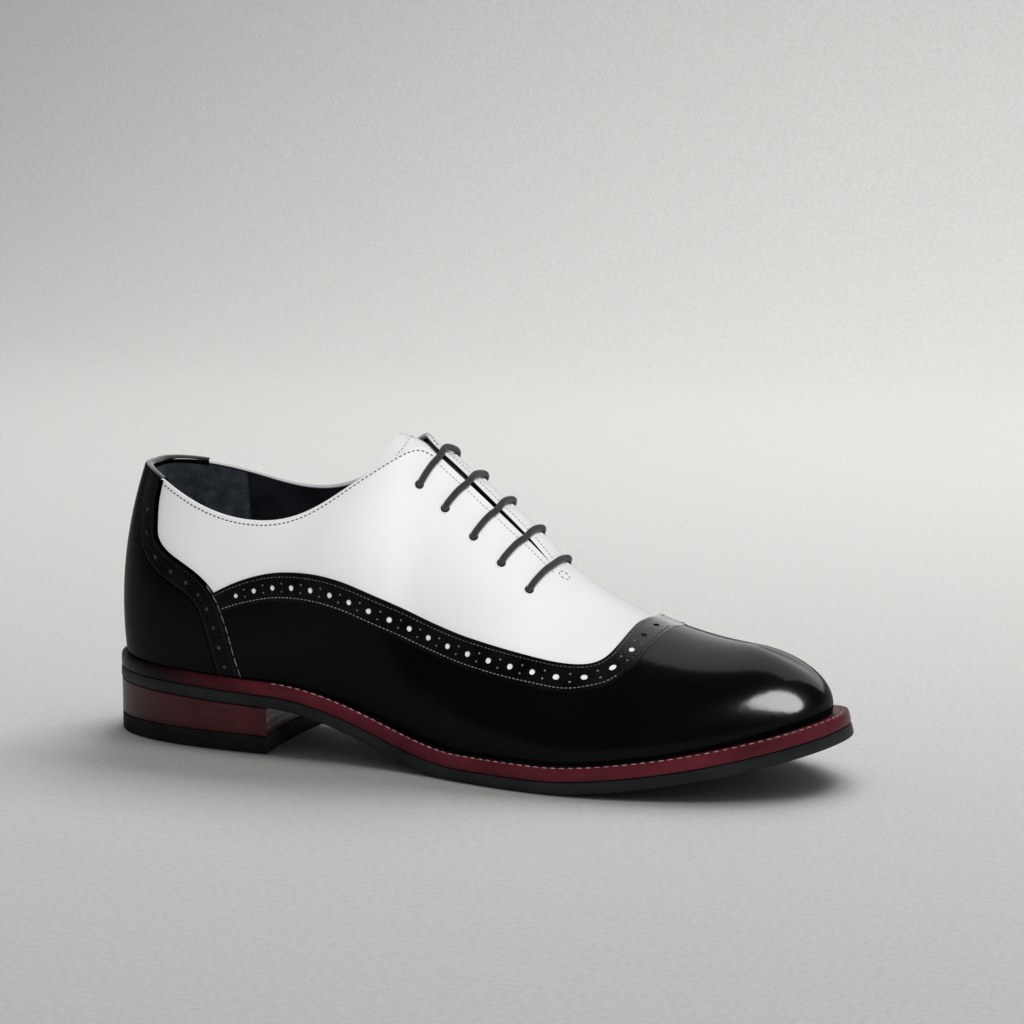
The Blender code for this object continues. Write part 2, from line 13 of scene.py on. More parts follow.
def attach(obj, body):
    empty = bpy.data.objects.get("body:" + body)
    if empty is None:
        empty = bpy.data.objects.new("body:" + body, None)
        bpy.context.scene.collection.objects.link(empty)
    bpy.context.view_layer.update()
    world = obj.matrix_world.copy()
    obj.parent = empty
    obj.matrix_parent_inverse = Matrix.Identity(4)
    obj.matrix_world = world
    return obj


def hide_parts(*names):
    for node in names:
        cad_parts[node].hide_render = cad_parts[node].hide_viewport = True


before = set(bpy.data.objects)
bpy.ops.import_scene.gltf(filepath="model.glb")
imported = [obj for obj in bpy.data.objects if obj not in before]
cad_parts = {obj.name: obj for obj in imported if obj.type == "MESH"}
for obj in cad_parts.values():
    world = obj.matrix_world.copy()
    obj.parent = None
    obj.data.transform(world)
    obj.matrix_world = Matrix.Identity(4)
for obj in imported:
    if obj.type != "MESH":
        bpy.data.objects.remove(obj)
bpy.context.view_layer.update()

# Heel top piece
# A plate of black rubber, moulded with a soft edge, nailed and glued under the heel stack.
# Its outline is the sole's own, cut off at the hollow heel breast.
MM = 0.001
SOLE_LENGTH = 302.0
SOLE_OUTLINE = (
    # along, lateral, medial
    (0.00, 0.0, 0.0),
    (0.03, 21.5, 21.5),
    (0.08, 30.5, 30.5),
    (0.16, 35.5, 34.0),
    (0.26, 36.5, 32.0),
    (0.38, 37.5, 28.5),
    (0.50, 45.0, 33.5),
    (0.60, 51.5, 42.5),
    (0.68, 53.5, 48.0),
    (0.76, 50.5, 49.0),
    (0.84, 44.0, 45.0),
    (0.92, 31.8, 36.5),
    (0.97, 18.5, 25.5),
    (1.00, -4.4, 4.4),
)
HEEL_LENGTH = 79.0
BREAST_HOLLOW = 2.0
TOP_PIECE = 7.0


def smooth_curve(knots, values, period=0.0):
    """A twice-smooth curve through the knots, as a function. With a period it closes on itself."""
    x, y = np.asarray(knots, float), np.asarray(values, float)
    if period:
        x = np.concatenate([x - period, x, x + period])
        y = np.tile(y, 3)
    step = np.diff(x)
    system = np.eye(len(x))
    for i in range(1, len(x) - 1):
        system[i, i - 1 : i + 2] = step[i - 1], 2 * (step[i - 1] + step[i]), step[i]
    bend = np.linalg.solve(system, np.concatenate([[0], 6 * np.diff(np.diff(y) / step), [0]]))

    def at(q):
        q = np.asarray(q, float)
        if period:
            q = q % period
        i = np.clip(np.searchsorted(x, q) - 1, 0, len(step) - 1)
        h, after, before = step[i], q - x[i], x[i + 1] - q
        curve = (bend[i] * before**3 + bend[i + 1] * after**3) / (6 * h)
        return curve + (y[i] / h - bend[i] * h / 6) * before + (y[i + 1] / h - bend[i + 1] * h / 6) * after

    return at


def turn_of(along):
    """The turn round the shoe for a share of its length: 0 at the heel, 1 at the toe, on the lateral side."""
    return np.arccos(1 - 2 * np.asarray(along, float)) / math.pi


def round_the_shoe(lateral, medial):
    """A closed curve through (along, value) pairs: out along the lateral side, back along the medial one."""
    back = [pair for pair in reversed(medial) if 0 < pair[0] < 1]
    turns = [turn_of(along) for along, _ in lateral] + [2 - turn_of(along) for along, _ in back]
    return smooth_curve(turns, [value for _, value in [*lateral, *back]], period=2.0)


def table_curve(rows, lateral_column, medial_column, lateral_sign=1):
    lateral = [(row[0], lateral_sign * row[lateral_column]) for row in rows]
    medial = [(row[0], row[medial_column]) for row in rows]
    return round_the_shoe(lateral, medial)


outline_y = table_curve(SOLE_OUTLINE, 1, 2, lateral_sign=-1)


def plan_outline(turn, inset=0.0):
    """The sole's outline in plan, moved in by inset, and its inward direction."""
    turn = np.asarray(turn, float)
    step = 1e-4

    def edge(q):
        return np.stack([SOLE_LENGTH * (1 - np.cos(math.pi * q)) / 2, outline_y(q)], -1)

    run = edge(turn + step) - edge(turn - step)
    run /= np.linalg.norm(run, axis=-1, keepdims=True)
    inward = np.stack([-run[..., 1], run[..., 0]], -1)
    return edge(turn) + np.asarray(inset)[..., None] * inward, inward


outline_span = plan_outline(np.linspace(0, 2, 2001))[0]
ORIGIN = np.append((outline_span.min(axis=0) + outline_span.max(axis=0)) / 2, 0.0)


def effect_group(name, inputs, outputs):
    """An empty shader group with named sockets, given as (socket, kind, default) and (socket, kind)."""
    group = bpy.data.node_groups.new(name, "ShaderNodeTree")
    for socket, kind, default in inputs:
        group.interface.new_socket(socket, in_out="INPUT", socket_type=kind).default_value = default
    for socket, kind in outputs:
        group.interface.new_socket(socket, in_out="OUTPUT", socket_type=kind)
    return group, group.nodes.new("NodeGroupInput"), group.nodes.new("NodeGroupOutput")


def tone_group():
    """Colour that drifts softly between two tones, as dyed or moulded stuff does."""
    group, entry, leave = effect_group(
        "Tone drift",
        [
            ("Place", "NodeSocketVector", (0, 0, 0)),
            ("Dark", "NodeSocketColor", (0, 0, 0, 1)),
            ("Light", "NodeSocketColor", (1, 1, 1, 1)),
            ("Scale", "NodeSocketFloat", 40.0),
        ],
        [("Color", "NodeSocketColor")],
    )
    noise = group.nodes.new("ShaderNodeTexNoise")
    noise.inputs["Detail"].default_value = 4.0
    spread = group.nodes.new("ShaderNodeMapRange")
    spread.inputs["From Min"].default_value = 0.3
    spread.inputs["From Max"].default_value = 0.7
    blend = group.nodes.new("ShaderNodeMix")
    blend.data_type = "RGBA"
    group.links.new(entry.outputs["Place"], noise.inputs["Vector"])
    group.links.new(entry.outputs["Scale"], noise.inputs["Scale"])
    group.links.new(noise.outputs["Fac"], spread.inputs["Value"])
    group.links.new(spread.outputs["Result"], blend.inputs["Factor"])
    group.links.new(entry.outputs["Dark"], blend.inputs["A"])
    group.links.new(entry.outputs["Light"], blend.inputs["B"])
    group.links.new(blend.outputs["Result"], leave.inputs["Color"])
    return group


def handling_group():
    """Roughness that varies in soft patches, as on a surface that has been handled."""
    group, entry, leave = effect_group(
        "Handling",
        [
            ("Place", "NodeSocketVector", (0, 0, 0)),
            ("Low", "NodeSocketFloat", 0.3),
            ("High", "NodeSocketFloat", 0.5),
            ("Scale", "NodeSocketFloat", 60.0),
        ],
        [("Roughness", "NodeSocketFloat")],
    )
    noise = group.nodes.new("ShaderNodeTexNoise")
    noise.inputs["Detail"].default_value = 6.0
    spread = group.nodes.new("ShaderNodeMapRange")
    spread.inputs["From Min"].default_value = 0.35
    spread.inputs["From Max"].default_value = 0.65
    group.links.new(entry.outputs["Place"], noise.inputs["Vector"])
    group.links.new(entry.outputs["Scale"], noise.inputs["Scale"])
    group.links.new(noise.outputs["Fac"], spread.inputs["Value"])
    group.links.new(entry.outputs["Low"], spread.inputs["To Min"])
    group.links.new(entry.outputs["High"], spread.inputs["To Max"])
    group.links.new(spread.outputs["Result"], leave.inputs["Roughness"])
    return group


def grain_group():
    """Fine relief: cells with soft creases between them, broken up by finer noise."""
    group, entry, leave = effect_group(
        "Fine grain",
        [("Place", "NodeSocketVector", (0, 0, 0)), ("Scale", "NodeSocketFloat", 900.0)],
        [("Height", "NodeSocketFloat")],
    )
    cells = group.nodes.new("ShaderNodeTexVoronoi")
    cells.feature = "SMOOTH_F1"
    noise = group.nodes.new("ShaderNodeTexNoise")
    noise.inputs["Detail"].default_value = 5.0
    mix = group.nodes.new("ShaderNodeMath")
    mix.operation = "MULTIPLY_ADD"
    mix.inputs[1].default_value = -0.6
    group.links.new(entry.outputs["Place"], cells.inputs["Vector"])
    group.links.new(entry.outputs["Place"], noise.inputs["Vector"])
    group.links.new(entry.outputs["Scale"], cells.inputs["Scale"])
    group.links.new(entry.outputs["Scale"], noise.inputs["Scale"])
    group.links.new(cells.outputs["Distance"], mix.inputs[0])
    group.links.new(noise.outputs["Fac"], mix.inputs[2])
    group.links.new(mix.outputs["Value"], leave.inputs["Height"])
    return group


TONE = tone_group()
HANDLING = handling_group()
GRAIN = grain_group()


def surface_finish(name, dark, light, tone_scale, rough, grain_scale, grain_depth, **constants):
    """A material with drifting tone, patchy gloss and fine relief. Constants go on its shader's sockets."""
    look = bpy.data.materials.new(name)
    look.use_nodes = True
    tree = look.node_tree
    shader = tree.nodes["Principled BSDF"]
    place = tree.nodes.new("ShaderNodeTexCoord").outputs["Object"]

    def effect(group, **values):
        node = tree.nodes.new("ShaderNodeGroup")
        node.node_tree = group
        tree.links.new(place, node.inputs["Place"])
        for socket, value in values.items():
            node.inputs[socket].default_value = value
        return node

    tone = effect(TONE, Dark=(*dark, 1), Light=(*light, 1), Scale=tone_scale)
    gloss = effect(HANDLING, Low=rough[0], High=rough[1])
    relief = effect(GRAIN, Scale=grain_scale)
    bump = tree.nodes.new("ShaderNodeBump")
    bump.inputs["Distance"].default_value = grain_depth * MM
    tree.links.new(relief.outputs["Height"], bump.inputs["Height"])
    tree.links.new(tone.outputs["Color"], shader.inputs["Base Color"])
    tree.links.new(gloss.outputs["Roughness"], shader.inputs["Roughness"])
    tree.links.new(bump.outputs["Normal"], shader.inputs["Normal"])
    for socket, value in constants.items():
        shader.inputs[socket.replace("_", " ")].default_value = value
    return look


def add_piece(name, points, faces, look, nodes=(), slot=None, sharp=40.0, normals=None):
    """A piece from points in millimetres that rides on the shoe, in place of the nodes it stands for."""
    mesh = bpy.data.meshes.new(name)
    mesh.from_pydata(((np.asarray(points) - ORIGIN) * MM).tolist(), [], faces)
    mesh.materials.append(look)
    mesh.shade_smooth()
    mesh.set_sharp_from_angle(angle=math.radians(sharp))
    if normals is not None:
        mesh.normals_split_custom_set_from_vertices(normals.tolist())
    piece = bpy.data.objects.new(name, mesh)
    bpy.context.scene.collection.objects.link(piece)
    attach(piece, "root")
    if nodes:
        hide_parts(*nodes)
    return piece


def ring_faces(rings, count):
    """Quads between closed rings of points that follow one another."""
    faces = []
    for i in range(rings - 1):
        for j in range(count):
            a, b = i * count + j, i * count + (j + 1) % count
            faces.append((a, b, b + count, a + count))
    return faces


def capped_faces(rings, count):
    """Quads between closed rings, with one face over each end."""
    last = (rings - 1) * count
    return ring_faces(rings, count) + [tuple(range(count))[::-1], tuple(range(last, last + count))]


def heel_plan(inset, columns=70):
    """The heel's outline in plan, moved in by inset, with its hollow breast."""
    breast = turn_of(HEEL_LENGTH / SOLE_LENGTH)
    edge = plan_outline(np.linspace(-breast, breast, 2 * columns + 1))[0]
    across = np.linspace(1, 0, 31)[1:-1]
    width = edge[-1, 1] - edge[0, 1]
    hollow = BREAST_HOLLOW * 4 * across * (1 - across)
    plan = np.concatenate([edge, np.stack([edge[-1, 0] - hollow, edge[0, 1] + width * across], 1)])
    run = np.roll(plan, -1, axis=0) - np.roll(plan, 1, axis=0)
    run /= np.linalg.norm(run, axis=1, keepdims=True)
    return plan + inset * np.stack([-run[:, 1], run[:, 0]], 1)


def heel_layer(name, profile, look, node, slot):
    """A layer of the heel from rings of (inset, height over x)."""
    rings = []
    for inset, height in profile:
        plan = heel_plan(inset)
        rings.append(np.column_stack([plan, np.broadcast_to(height(plan[:, 0]), len(plan))]))
    faces = capped_faces(len(rings), len(rings[0]))
    add_piece(name, np.concatenate(rings), faces, look, [node], slot, sharp=35.0)


def level(z):
    return lambda x: np.full(np.shape(x), float(z))


rubber = surface_finish(
    "black rubber",
    (0.0035, 0.0035, 0.0038),
    (0.0080, 0.0080, 0.0084),
    90,
    (0.6, 0.8),
    2600,
    0.05,
    Specular_IOR_Level=0.15,
)
heel_layer(
    "heel_top_lift",
    [
        (1.3, level(0.0)),
        (0.6, level(0.12)),
        (0.3, level(0.6)),
        (0.3, level(TOP_PIECE - 0.5)),
        (0.6, level(TOP_PIECE - 0.1)),
        (1.2, level(TOP_PIECE)),
    ],
    rubber,
    "heel_top_piece",
    "top_piece",
)

# Heel stack
# Lifts of sole leather, glued up and nailed into the heel seat, then trimmed flush, stained dark burgundy
# and burnished with wax. The joints between the lifts show as faint lines.
OUTSOLE = 4.6
SEAM = 0.3
HEEL_SEAT_BACK = 21.4
HEEL_SEAT_FRONT = 18.4
FLAT_START = 0.54
FLAT_END = 0.655
TOE_SPRING = 17.8
TOE_SPRING_CURVE = 1.55
LIFTS = 3
LIFT_GROOVE = 0.025


def sole_bottom(x):
    """Height of the outsole's lower face: heel seat, arch, flat tread and toe spring."""
    along = np.asarray(x, float) / SOLE_LENGTH
    breast = HEEL_LENGTH / SOLE_LENGTH
    seat_slope = (HEEL_SEAT_FRONT - HEEL_SEAT_BACK) / breast
    seat = HEEL_SEAT_BACK + seat_slope * along
    q = np.clip((along - breast) / (FLAT_START - breast), 0, 1)
    arch = HEEL_SEAT_FRONT * (2 * q**3 - 3 * q**2 + 1)
    arch = arch + seat_slope * (FLAT_START - breast) * (q**3 - 2 * q**2 + q)
    toe = TOE_SPRING * np.maximum((along - FLAT_END) / (1 - FLAT_END), 0) ** TOE_SPRING_CURVE
    return np.where(along < breast, seat, arch) + toe


def lift_height(share, extra=0.0):
    """A level of the heel stack: 0 on the top piece, 1 under the heel seat."""
    low = TOP_PIECE + SEAM
    return lambda x: low + share * (sole_bottom(x) - SEAM - low) + extra


stack = surface_finish(
    "burgundy stacked leather",
    (0.022, 0.0030, 0.0042),
    (0.048, 0.0065, 0.0090),
    55,
    (0.32, 0.46),
    1400,
    0.03,
    Specular_IOR_Level=0.25,
    Coat_Weight=0.1,
    Coat_Roughness=0.25,
)
stack_profile = [(0.9, lift_height(0, 0.0)), (0.4, lift_height(0, 0.1)), (0.3, lift_height(0, 0.3))]
for joint in range(1, LIFTS):
    for inset, extra in ((0.3, -0.16), (0.3 + LIFT_GROOVE, 0.0), (0.3, 0.16)):
        stack_profile.append((inset, lift_height(joint / LIFTS, extra)))
stack_profile += [(0.3, lift_height(1, -0.2)), (0.5, lift_height(1, 0.0))]
heel_layer("heel_stack", stack_profile, stack, "heel_block", "heel_stack")

# Outsole
# One piece of sole leather, curved up at the toe and over the waist, stitched to the welt and trimmed to its
# outline. The edge is inked charcoal, and a closed stitch channel runs round the tread.
WELT = 4.8
RING = np.linspace(0, 2, 361)[:-1]


def on_sole(plan, height):
    """The point that lies this far above the outsole's lower face, square to it, over a point of the plan."""
    x, y = plan[..., 0], plan[..., 1]
    reach = 0.5
    tilt = np.arctan((sole_bottom(x + reach) - sole_bottom(x - reach)) / (2 * reach))
    return np.stack([x - height * np.sin(tilt), y, sole_bottom(x) + height * np.cos(tilt)], -1)


def sole_layer(name, profile, look, node, slot, inset=None):
    """A layer of the sole from rings of (inset, height), closed straight across at both ends."""
    base = inset(RING) if inset else np.zeros(len(RING))
    rings = [on_sole(plan_outline(RING, base + step)[0], height) for step, height in profile]
    count = len(RING)
    faces = ring_faces(len(rings), count)
    half = count // 2
    last = (len(rings) - 1) * count
    for i in range(half):
        a, b = (count - i) % count, (count - i - 1) % count
        faces.append((i, a, b, i + 1))
        faces.append((last + i + 1, last + b, last + a, last + i))
    add_piece(name, np.concatenate(rings), faces, look, [node], slot, sharp=35.0)


charcoal = surface_finish(
    "inked sole leather",
    (0.006, 0.0065, 0.007),
    (0.014, 0.015, 0.0155),
    45,
    (0.45, 0.65),
    1200,
    0.05,
    Specular_IOR_Level=0.25,
)
sole_layer(
    "outsole_leather",
    [
        (6.6, 0.0),
        (6.2, 0.35),
        (5.8, 0.0),
        (1.0, 0.0),
        (0.3, 0.2),
        (0.0, 0.8),
        (0.0, OUTSOLE - 0.6),
        (0.2, OUTSOLE - 0.12),
        (0.7, OUTSOLE),
    ],
    charcoal,
    "outsole",
    "outsole",
)

# Welt
# A strip of leather sewn round the upper and stitched down to the outsole with light waxed thread, which lies
# in a groove along its top. The edge is stained burgundy and polished.
WELT_LIP = (
    # along, lateral, medial
    (0.00, 3.6, 3.6),
    (0.15, 3.8, 3.8),
    (0.35, 4.8, 3.6),
    (0.55, 6.0, 4.8),
    (0.75, 6.5, 6.2),
    (1.00, 6.8, 6.8),
)
WELT_LOW = OUTSOLE + SEAM
WELT_HIGH = WELT_LOW + WELT
WELT_STITCH_INSET = 1.9
WELT_STITCH_START = 0.262
WELT_REACH = 9.0
# Where the painted crevice shade on the welt's top begins, in from the welt's edge, along the shoe.
CREVICE_SHADE_EDGE = (
    # along, inset
    (0.00, 2.4),
    (0.70, 2.5),
    (0.80, 3.6),
    (0.92, 8.0),
)
CREVICE_SHADE_LIFT = 0.04
HEEL_FADE = (25.0, 80.0)
welt_lip = table_curve(WELT_LIP, 1, 2)
burgundy = surface_finish(
    "burgundy welt leather",
    (0.046, 0.0065, 0.0100),
    (0.088, 0.0130, 0.0190),
    60,
    (0.3, 0.45),
    1500,
    0.04,
    Specular_IOR_Level=0.12,
)


def darken_heel(look, dark):
    """Lets a material's tone run into a darker stain round the heel, as the edge is inked there."""
    tree = look.node_tree
    shader = tree.nodes["Principled BSDF"]
    tone = shader.inputs["Base Color"].links[0].from_socket
    split = tree.nodes.new("ShaderNodeSeparateXYZ")
    tree.links.new(tree.nodes["Texture Coordinate"].outputs["Object"], split.inputs["Vector"])
    reach = tree.nodes.new("ShaderNodeMapRange")
    reach.interpolation_type = "SMOOTHSTEP"
    reach.inputs["From Min"].default_value = (HEEL_FADE[0] - ORIGIN[0]) * MM
    reach.inputs["From Max"].default_value = (HEEL_FADE[1] - ORIGIN[0]) * MM
    stain = tree.nodes.new("ShaderNodeMix")
    stain.data_type = "RGBA"
    stain.inputs["A"].default_value = (*dark, 1)
    tree.links.new(split.outputs["X"], reach.inputs["Value"])
    tree.links.new(reach.outputs["Result"], stain.inputs["Factor"])
    tree.links.new(tone, stain.inputs["B"])
    tree.links.new(stain.outputs["Result"], shader.inputs["Base Color"])


darken_heel(burgundy, (0.0035, 0.0016, 0.0018))
sole_layer(
    "welt_strip",
    [
        (0.6, WELT_LOW),
        (0.15, WELT_LOW + 0.15),
        (0.0, WELT_LOW + 0.6),
        (-0.1, (WELT_LOW + WELT_HIGH) / 2),
        (0.0, WELT_HIGH - 0.7),
        (0.2, WELT_HIGH - 0.2),
        (0.7, WELT_HIGH),
        (WELT_STITCH_INSET - 0.5, WELT_HIGH),
        (WELT_STITCH_INSET - 0.2, WELT_HIGH - 0.3),
        (WELT_STITCH_INSET + 0.2, WELT_HIGH - 0.3),
        (WELT_STITCH_INSET + 0.5, WELT_HIGH),
        (WELT_REACH, WELT_HIGH),
    ],
    burgundy,
    "welt",
    "welt",
)
# A black sheet on the welt's top, from that line in to the upper's foot, is painted shade for the crevice
# between welt and upper. It narrows towards the toe.
crevice_shade_look = surface_finish(
    "painted crevice shade", (0.0012, 0.0012, 0.0013), (0.003, 0.003, 0.003), 60, (0.5, 0.7), 1500, 0.04
)
shade_inset = np.interp((1 - np.cos(math.pi * RING)) / 2, *zip(*CREVICE_SHADE_EDGE))
shade_rings = []
for inset in (shade_inset, np.full(len(RING), WELT_REACH)):
    shade_rings.append(on_sole(plan_outline(RING, inset)[0], WELT_HIGH + CREVICE_SHADE_LIFT))
add_piece("welt_crevice_shade", np.concatenate(shade_rings), ring_faces(2, len(RING)), crevice_shade_look, slot="welt")


def unit(vectors):
    return vectors / np.linalg.norm(vectors, axis=-1, keepdims=True)


def run_along(line):
    """The length of a line of points from its start to each of them."""
    return np.append(0, np.cumsum(np.linalg.norm(np.diff(line, axis=0), axis=1)))


def round_angles(count):
    return np.arange(count) / count * 2 * math.pi


def stitches(name, line, outward, pitch, length, width, look, sink=0.3, sides=6):
    """Sewn stitches along a line: short rounded bars of thread with their ends drawn into the leather."""
    run = run_along(line)
    count = max(int(run[-1] / pitch), 1)
    centre = (np.arange(count) + 0.5) * run[-1] / count

    def at(values, s):
        return np.stack([np.interp(s, run, values[:, k]) for k in range(3)], -1)

    ahead = unit(at(line, centre + length / 2) - at(line, centre - length / 2))
    up = unit(at(outward, centre))
    side = unit(np.cross(up, ahead))
    up = np.cross(ahead, side)
    stations = np.array([-1.0, -0.8, -0.45, 0.0, 0.45, 0.8, 1.0])
    thick = width / 2 * np.maximum(1 - np.abs(stations) ** 4, 0.05) ** 0.5
    lift = width * (0.35 * (1 - stations**2) - sink)
    angle = round_angles(sides)
    points = (
        at(line, centre)[:, None, None]
        + ahead[:, None, None] * (stations * length / 2)[None, :, None, None]
        + side[:, None, None] * (thick[:, None] * np.cos(angle))[None, :, :, None]
        + up[:, None, None] * (thick[:, None] * np.sin(angle) + lift[:, None])[None, :, :, None]
    )
    one = capped_faces(len(stations), sides)
    size = len(stations) * sides
    faces = [tuple(v + k * size for v in face) for k in range(count) for face in one]
    add_piece(name, points.reshape(-1, 3), faces, look, sharp=80.0)


def welt_line(turns, inset, height):
    line = on_sole(plan_outline(turns, np.full(len(turns), inset))[0], height)
    return line, np.tile([0.0, 0.0, 1.0], (len(line), 1))


pink_thread = surface_finish(
    "light waxed thread", (0.20, 0.085, 0.095), (0.42, 0.25, 0.26), 700, (0.5, 0.7), 5000, 0.04
)
welt_turns = np.linspace(turn_of(WELT_STITCH_START), 2 - turn_of(WELT_STITCH_START), 900)
stitches(
    "welt_stitches",
    *welt_line(welt_turns, WELT_STITCH_INSET, WELT_HIGH - 0.08),
    pitch=3.4,
    length=2.6,
    width=0.7,
    look=pink_thread,
)

# Insole
# A footbed of dark leather that lies on the welt and the filler, inside the upper.
WALL = 2.0
FEATHER_HEIGHT = OUTSOLE + WELT + 2 * SEAM
INSOLE = 3.0
INSOLE_CLEARANCE = 0.8
footbed = surface_finish(
    "dark footbed leather", (0.012, 0.013, 0.017), (0.024, 0.026, 0.032), 70, (0.45, 0.62), 1100, 0.06
)
sole_layer(
    "footbed",
    [
        (0.6, FEATHER_HEIGHT),
        (0.0, FEATHER_HEIGHT + 0.6),
        (0.0, FEATHER_HEIGHT + INSOLE - 0.8),
        (0.3, FEATHER_HEIGHT + INSOLE - 0.2),
        (1.0, FEATHER_HEIGHT + INSOLE),
        (9.0, FEATHER_HEIGHT + INSOLE - 0.5),
    ],
    footbed,
    "insole",
    "insole",
    inset=lambda turn: welt_lip(turn) + WALL + INSOLE_CLEARANCE,
)

# Upper
# White calf, cut as two quarters and a vamp, closed at the back and lasted over the insole. Its edge is
# folded over along the collar and the facings and held by a row of fine dark stitches.
COLLAR_LATERAL = (
    # along, x, y, z
    (0.000, 13.2, 0.0, 107.0),
    (0.030, 16.0, -10.8, 106.4),
    (0.080, 26.8, -20.2, 103.2),
    (0.160, 48.0, -26.4, 94.2),
    (0.240, 71.0, -28.0, 90.4),
    (0.310, 92.0, -26.6, 95.0),
    (0.340, 101.5, -24.9, 100.5),
    (0.370, 110.9, -21.9, 107.2),
    (0.400, 119.8, -17.6, 113.5),
    (0.424, 127.2, -11.8, 118.4),
    (0.440, 131.4, -7.4, 119.8),
    (0.458, 136.0, -4.6, 117.9),
)
COLLAR_MEDIAL = (
    # along, x, y, z
    (0.030, 16.0, 10.8, 106.9),
    (0.080, 26.8, 19.6, 105.2),
    (0.160, 48.0, 25.8, 100.4),
    (0.240, 71.0, 27.8, 96.4),
    (0.310, 92.0, 26.4, 100.8),
    (0.340, 101.0, 24.4, 105.6),
    (0.370, 109.8, 20.6, 111.2),
    (0.400, 118.4, 15.4, 117.6),
    (0.424, 125.4, 9.6, 122.0),
    (0.440, 130.0, 4.4, 123.3),
    (0.458, 135.0, 0.4, 120.2),
)
FACING = (
    # along, x, lateral edge y, medial edge y, lateral edge z, medial edge z
    (0.480, 141.5, -3.6, -0.6, 113.5, 115.3),
    (0.510, 151.0, -3.4, -0.6, 105.7, 107.4),
    (0.560, 166.0, -3.1, -0.9, 93.1, 94.5),
    (0.600, 178.0, -2.8, -1.5, 82.8, 83.6),
)
CREST = (
    # along, x, y, z
    (0.635, 187.5, -2.4, 74.3),
    (0.680, 200.0, -2.0, 66.9),
    (0.740, 216.0, -1.6, 60.1),
    (0.800, 231.0, -1.2, 55.4),
    (0.860, 244.0, -0.8, 52.6),
    (0.920, 255.0, -0.4, 51.1),
    (0.970, 262.0, -0.1, 50.5),
    (1.000, 265.0, 0.0, 50.1),
)
THROAT_END = CREST[0][0]
RIBS = (
    # along, foot angle, foot handle, lateral top angle and handle, medial top angle and handle
    (0.00, 96.0, 26.0, 70.0, 27.0, 70.0, 27.0),
    (0.08, 96.0, 26.0, 77.0, 26.0, 77.0, 26.0),
    (0.16, 97.0, 24.0, 81.0, 24.0, 81.0, 24.0),
    (0.26, 97.0, 22.0, 75.0, 25.0, 73.0, 25.0),
    (0.32, 96.0, 24.0, 66.0, 26.0, 63.0, 26.0),
    (0.36, 95.0, 26.0, 58.0, 26.5, 50.0, 27.0),
    (0.40, 94.0, 27.5, 50.0, 26.0, 31.0, 28.0),
    (0.44, 93.0, 28.5, 43.5, 24.5, 2.0, 30.0),
    (0.50, 93.0, 28.5, 39.0, 23.0, -20.0, 33.0),
    (0.56, 94.0, 27.0, 32.0, 22.0, -24.0, 33.0),
    (0.62, 96.0, 24.0, 24.0, 22.0, -24.0, 30.0),
    (0.70, 98.0, 20.0, 14.0, 23.0, -14.0, 27.0),
    (0.80, 100.0, 16.0, 6.0, 23.0, -6.0, 24.0),
    (0.90, 101.0, 14.0, 1.0, 19.0, -1.0, 19.0),
    (1.00, 101.0, 13.0, 0.0, 16.0, 0.0, 16.0),
)
PITCH_START = turn_of(0.47)
PITCH_FULL = turn_of(0.60)
CALF = 0.95
CALF_AT_SLIT = 0.45
CALF_FOOT = 0.03
TURNED_IN = 10.0
FOLD_END = 0.445
SLIT_START = 0.462
STRAP_EDGE = 0.086
FACING_ROW = (0.468, 0.632)
COLLAR_STITCH_DEPTH = 1.5
FACING_STITCH_DEPTH = 2.7


def topline_curve(collar_column, facing_columns):
    """One coordinate of the topline, through the collar of each side, the facings and the crest."""
    crest = [(row[0], row[collar_column]) for row in CREST]
    sides = []
    for collar, column in zip((COLLAR_LATERAL, COLLAR_MEDIAL), facing_columns):
        side = [(row[0], row[collar_column]) for row in collar]
        sides.append(side + [(row[0], row[column]) for row in FACING] + crest)
    return round_the_shoe(*sides)


foot_angle = table_curve(RIBS, 1, 1)
foot_handle = table_curve(RIBS, 2, 2)
top_angle = table_curve(RIBS, 3, 5)
top_handle = table_curve(RIBS, 4, 6)
topline_x = topline_curve(1, (1, 1))
topline_y = topline_curve(2, (2, 3))
topline_z = topline_curve(3, (4, 5))


def rib_points(turn, rise):
    """Points of the upper's outer face: rise runs from 0 at the feather line to 1 at the topline."""
    turn, rise = np.broadcast_arrays(np.asarray(turn, float), np.asarray(rise, float))
    plan, inward = plan_outline(turn, welt_lip(turn))
    foot = on_sole(plan, FEATHER_HEIGHT)
    side = np.minimum(turn % 2, 2 - turn % 2)
    closed = side > turn_of(THROAT_END) - 1e-9
    crest_turn = np.where(closed, side, turn)
    top = np.stack([topline_x(crest_turn), topline_y(crest_turn), topline_z(crest_turn)], -1)
    step = 1e-3
    near = np.minimum(side, 1 - 8 * step)
    crest_run = topline_x(near + step) - topline_x(near - step)
    crest_fall = topline_z(near + step) - topline_z(near - step)
    fade = np.clip((side - PITCH_START) / (PITCH_FULL - PITCH_START), 0, 1)
    pitch = fade * np.arctan2(crest_fall, np.maximum(crest_run, 1e-9))
    over = np.stack([inward[..., 0] * np.cos(pitch), inward[..., 1], inward[..., 0] * np.sin(pitch)], -1)
    flat = np.concatenate([inward, np.zeros_like(inward[..., :1])], -1)
    up = np.array([0.0, 0.0, 1.0])
    lean = np.radians(top_angle(turn))[..., None]
    start = np.radians(foot_angle(turn))[..., None]
    leave = foot + foot_handle(turn)[..., None] * (np.cos(start) * flat + np.sin(start) * up)
    arrive = top - top_handle(turn)[..., None] * (np.cos(lean) * over + np.sin(lean) * up)
    s = rise[..., None]
    return (1 - s) ** 3 * foot + 3 * s * (1 - s) ** 2 * leave + 3 * s**2 * (1 - s) * arrive + s**3 * top


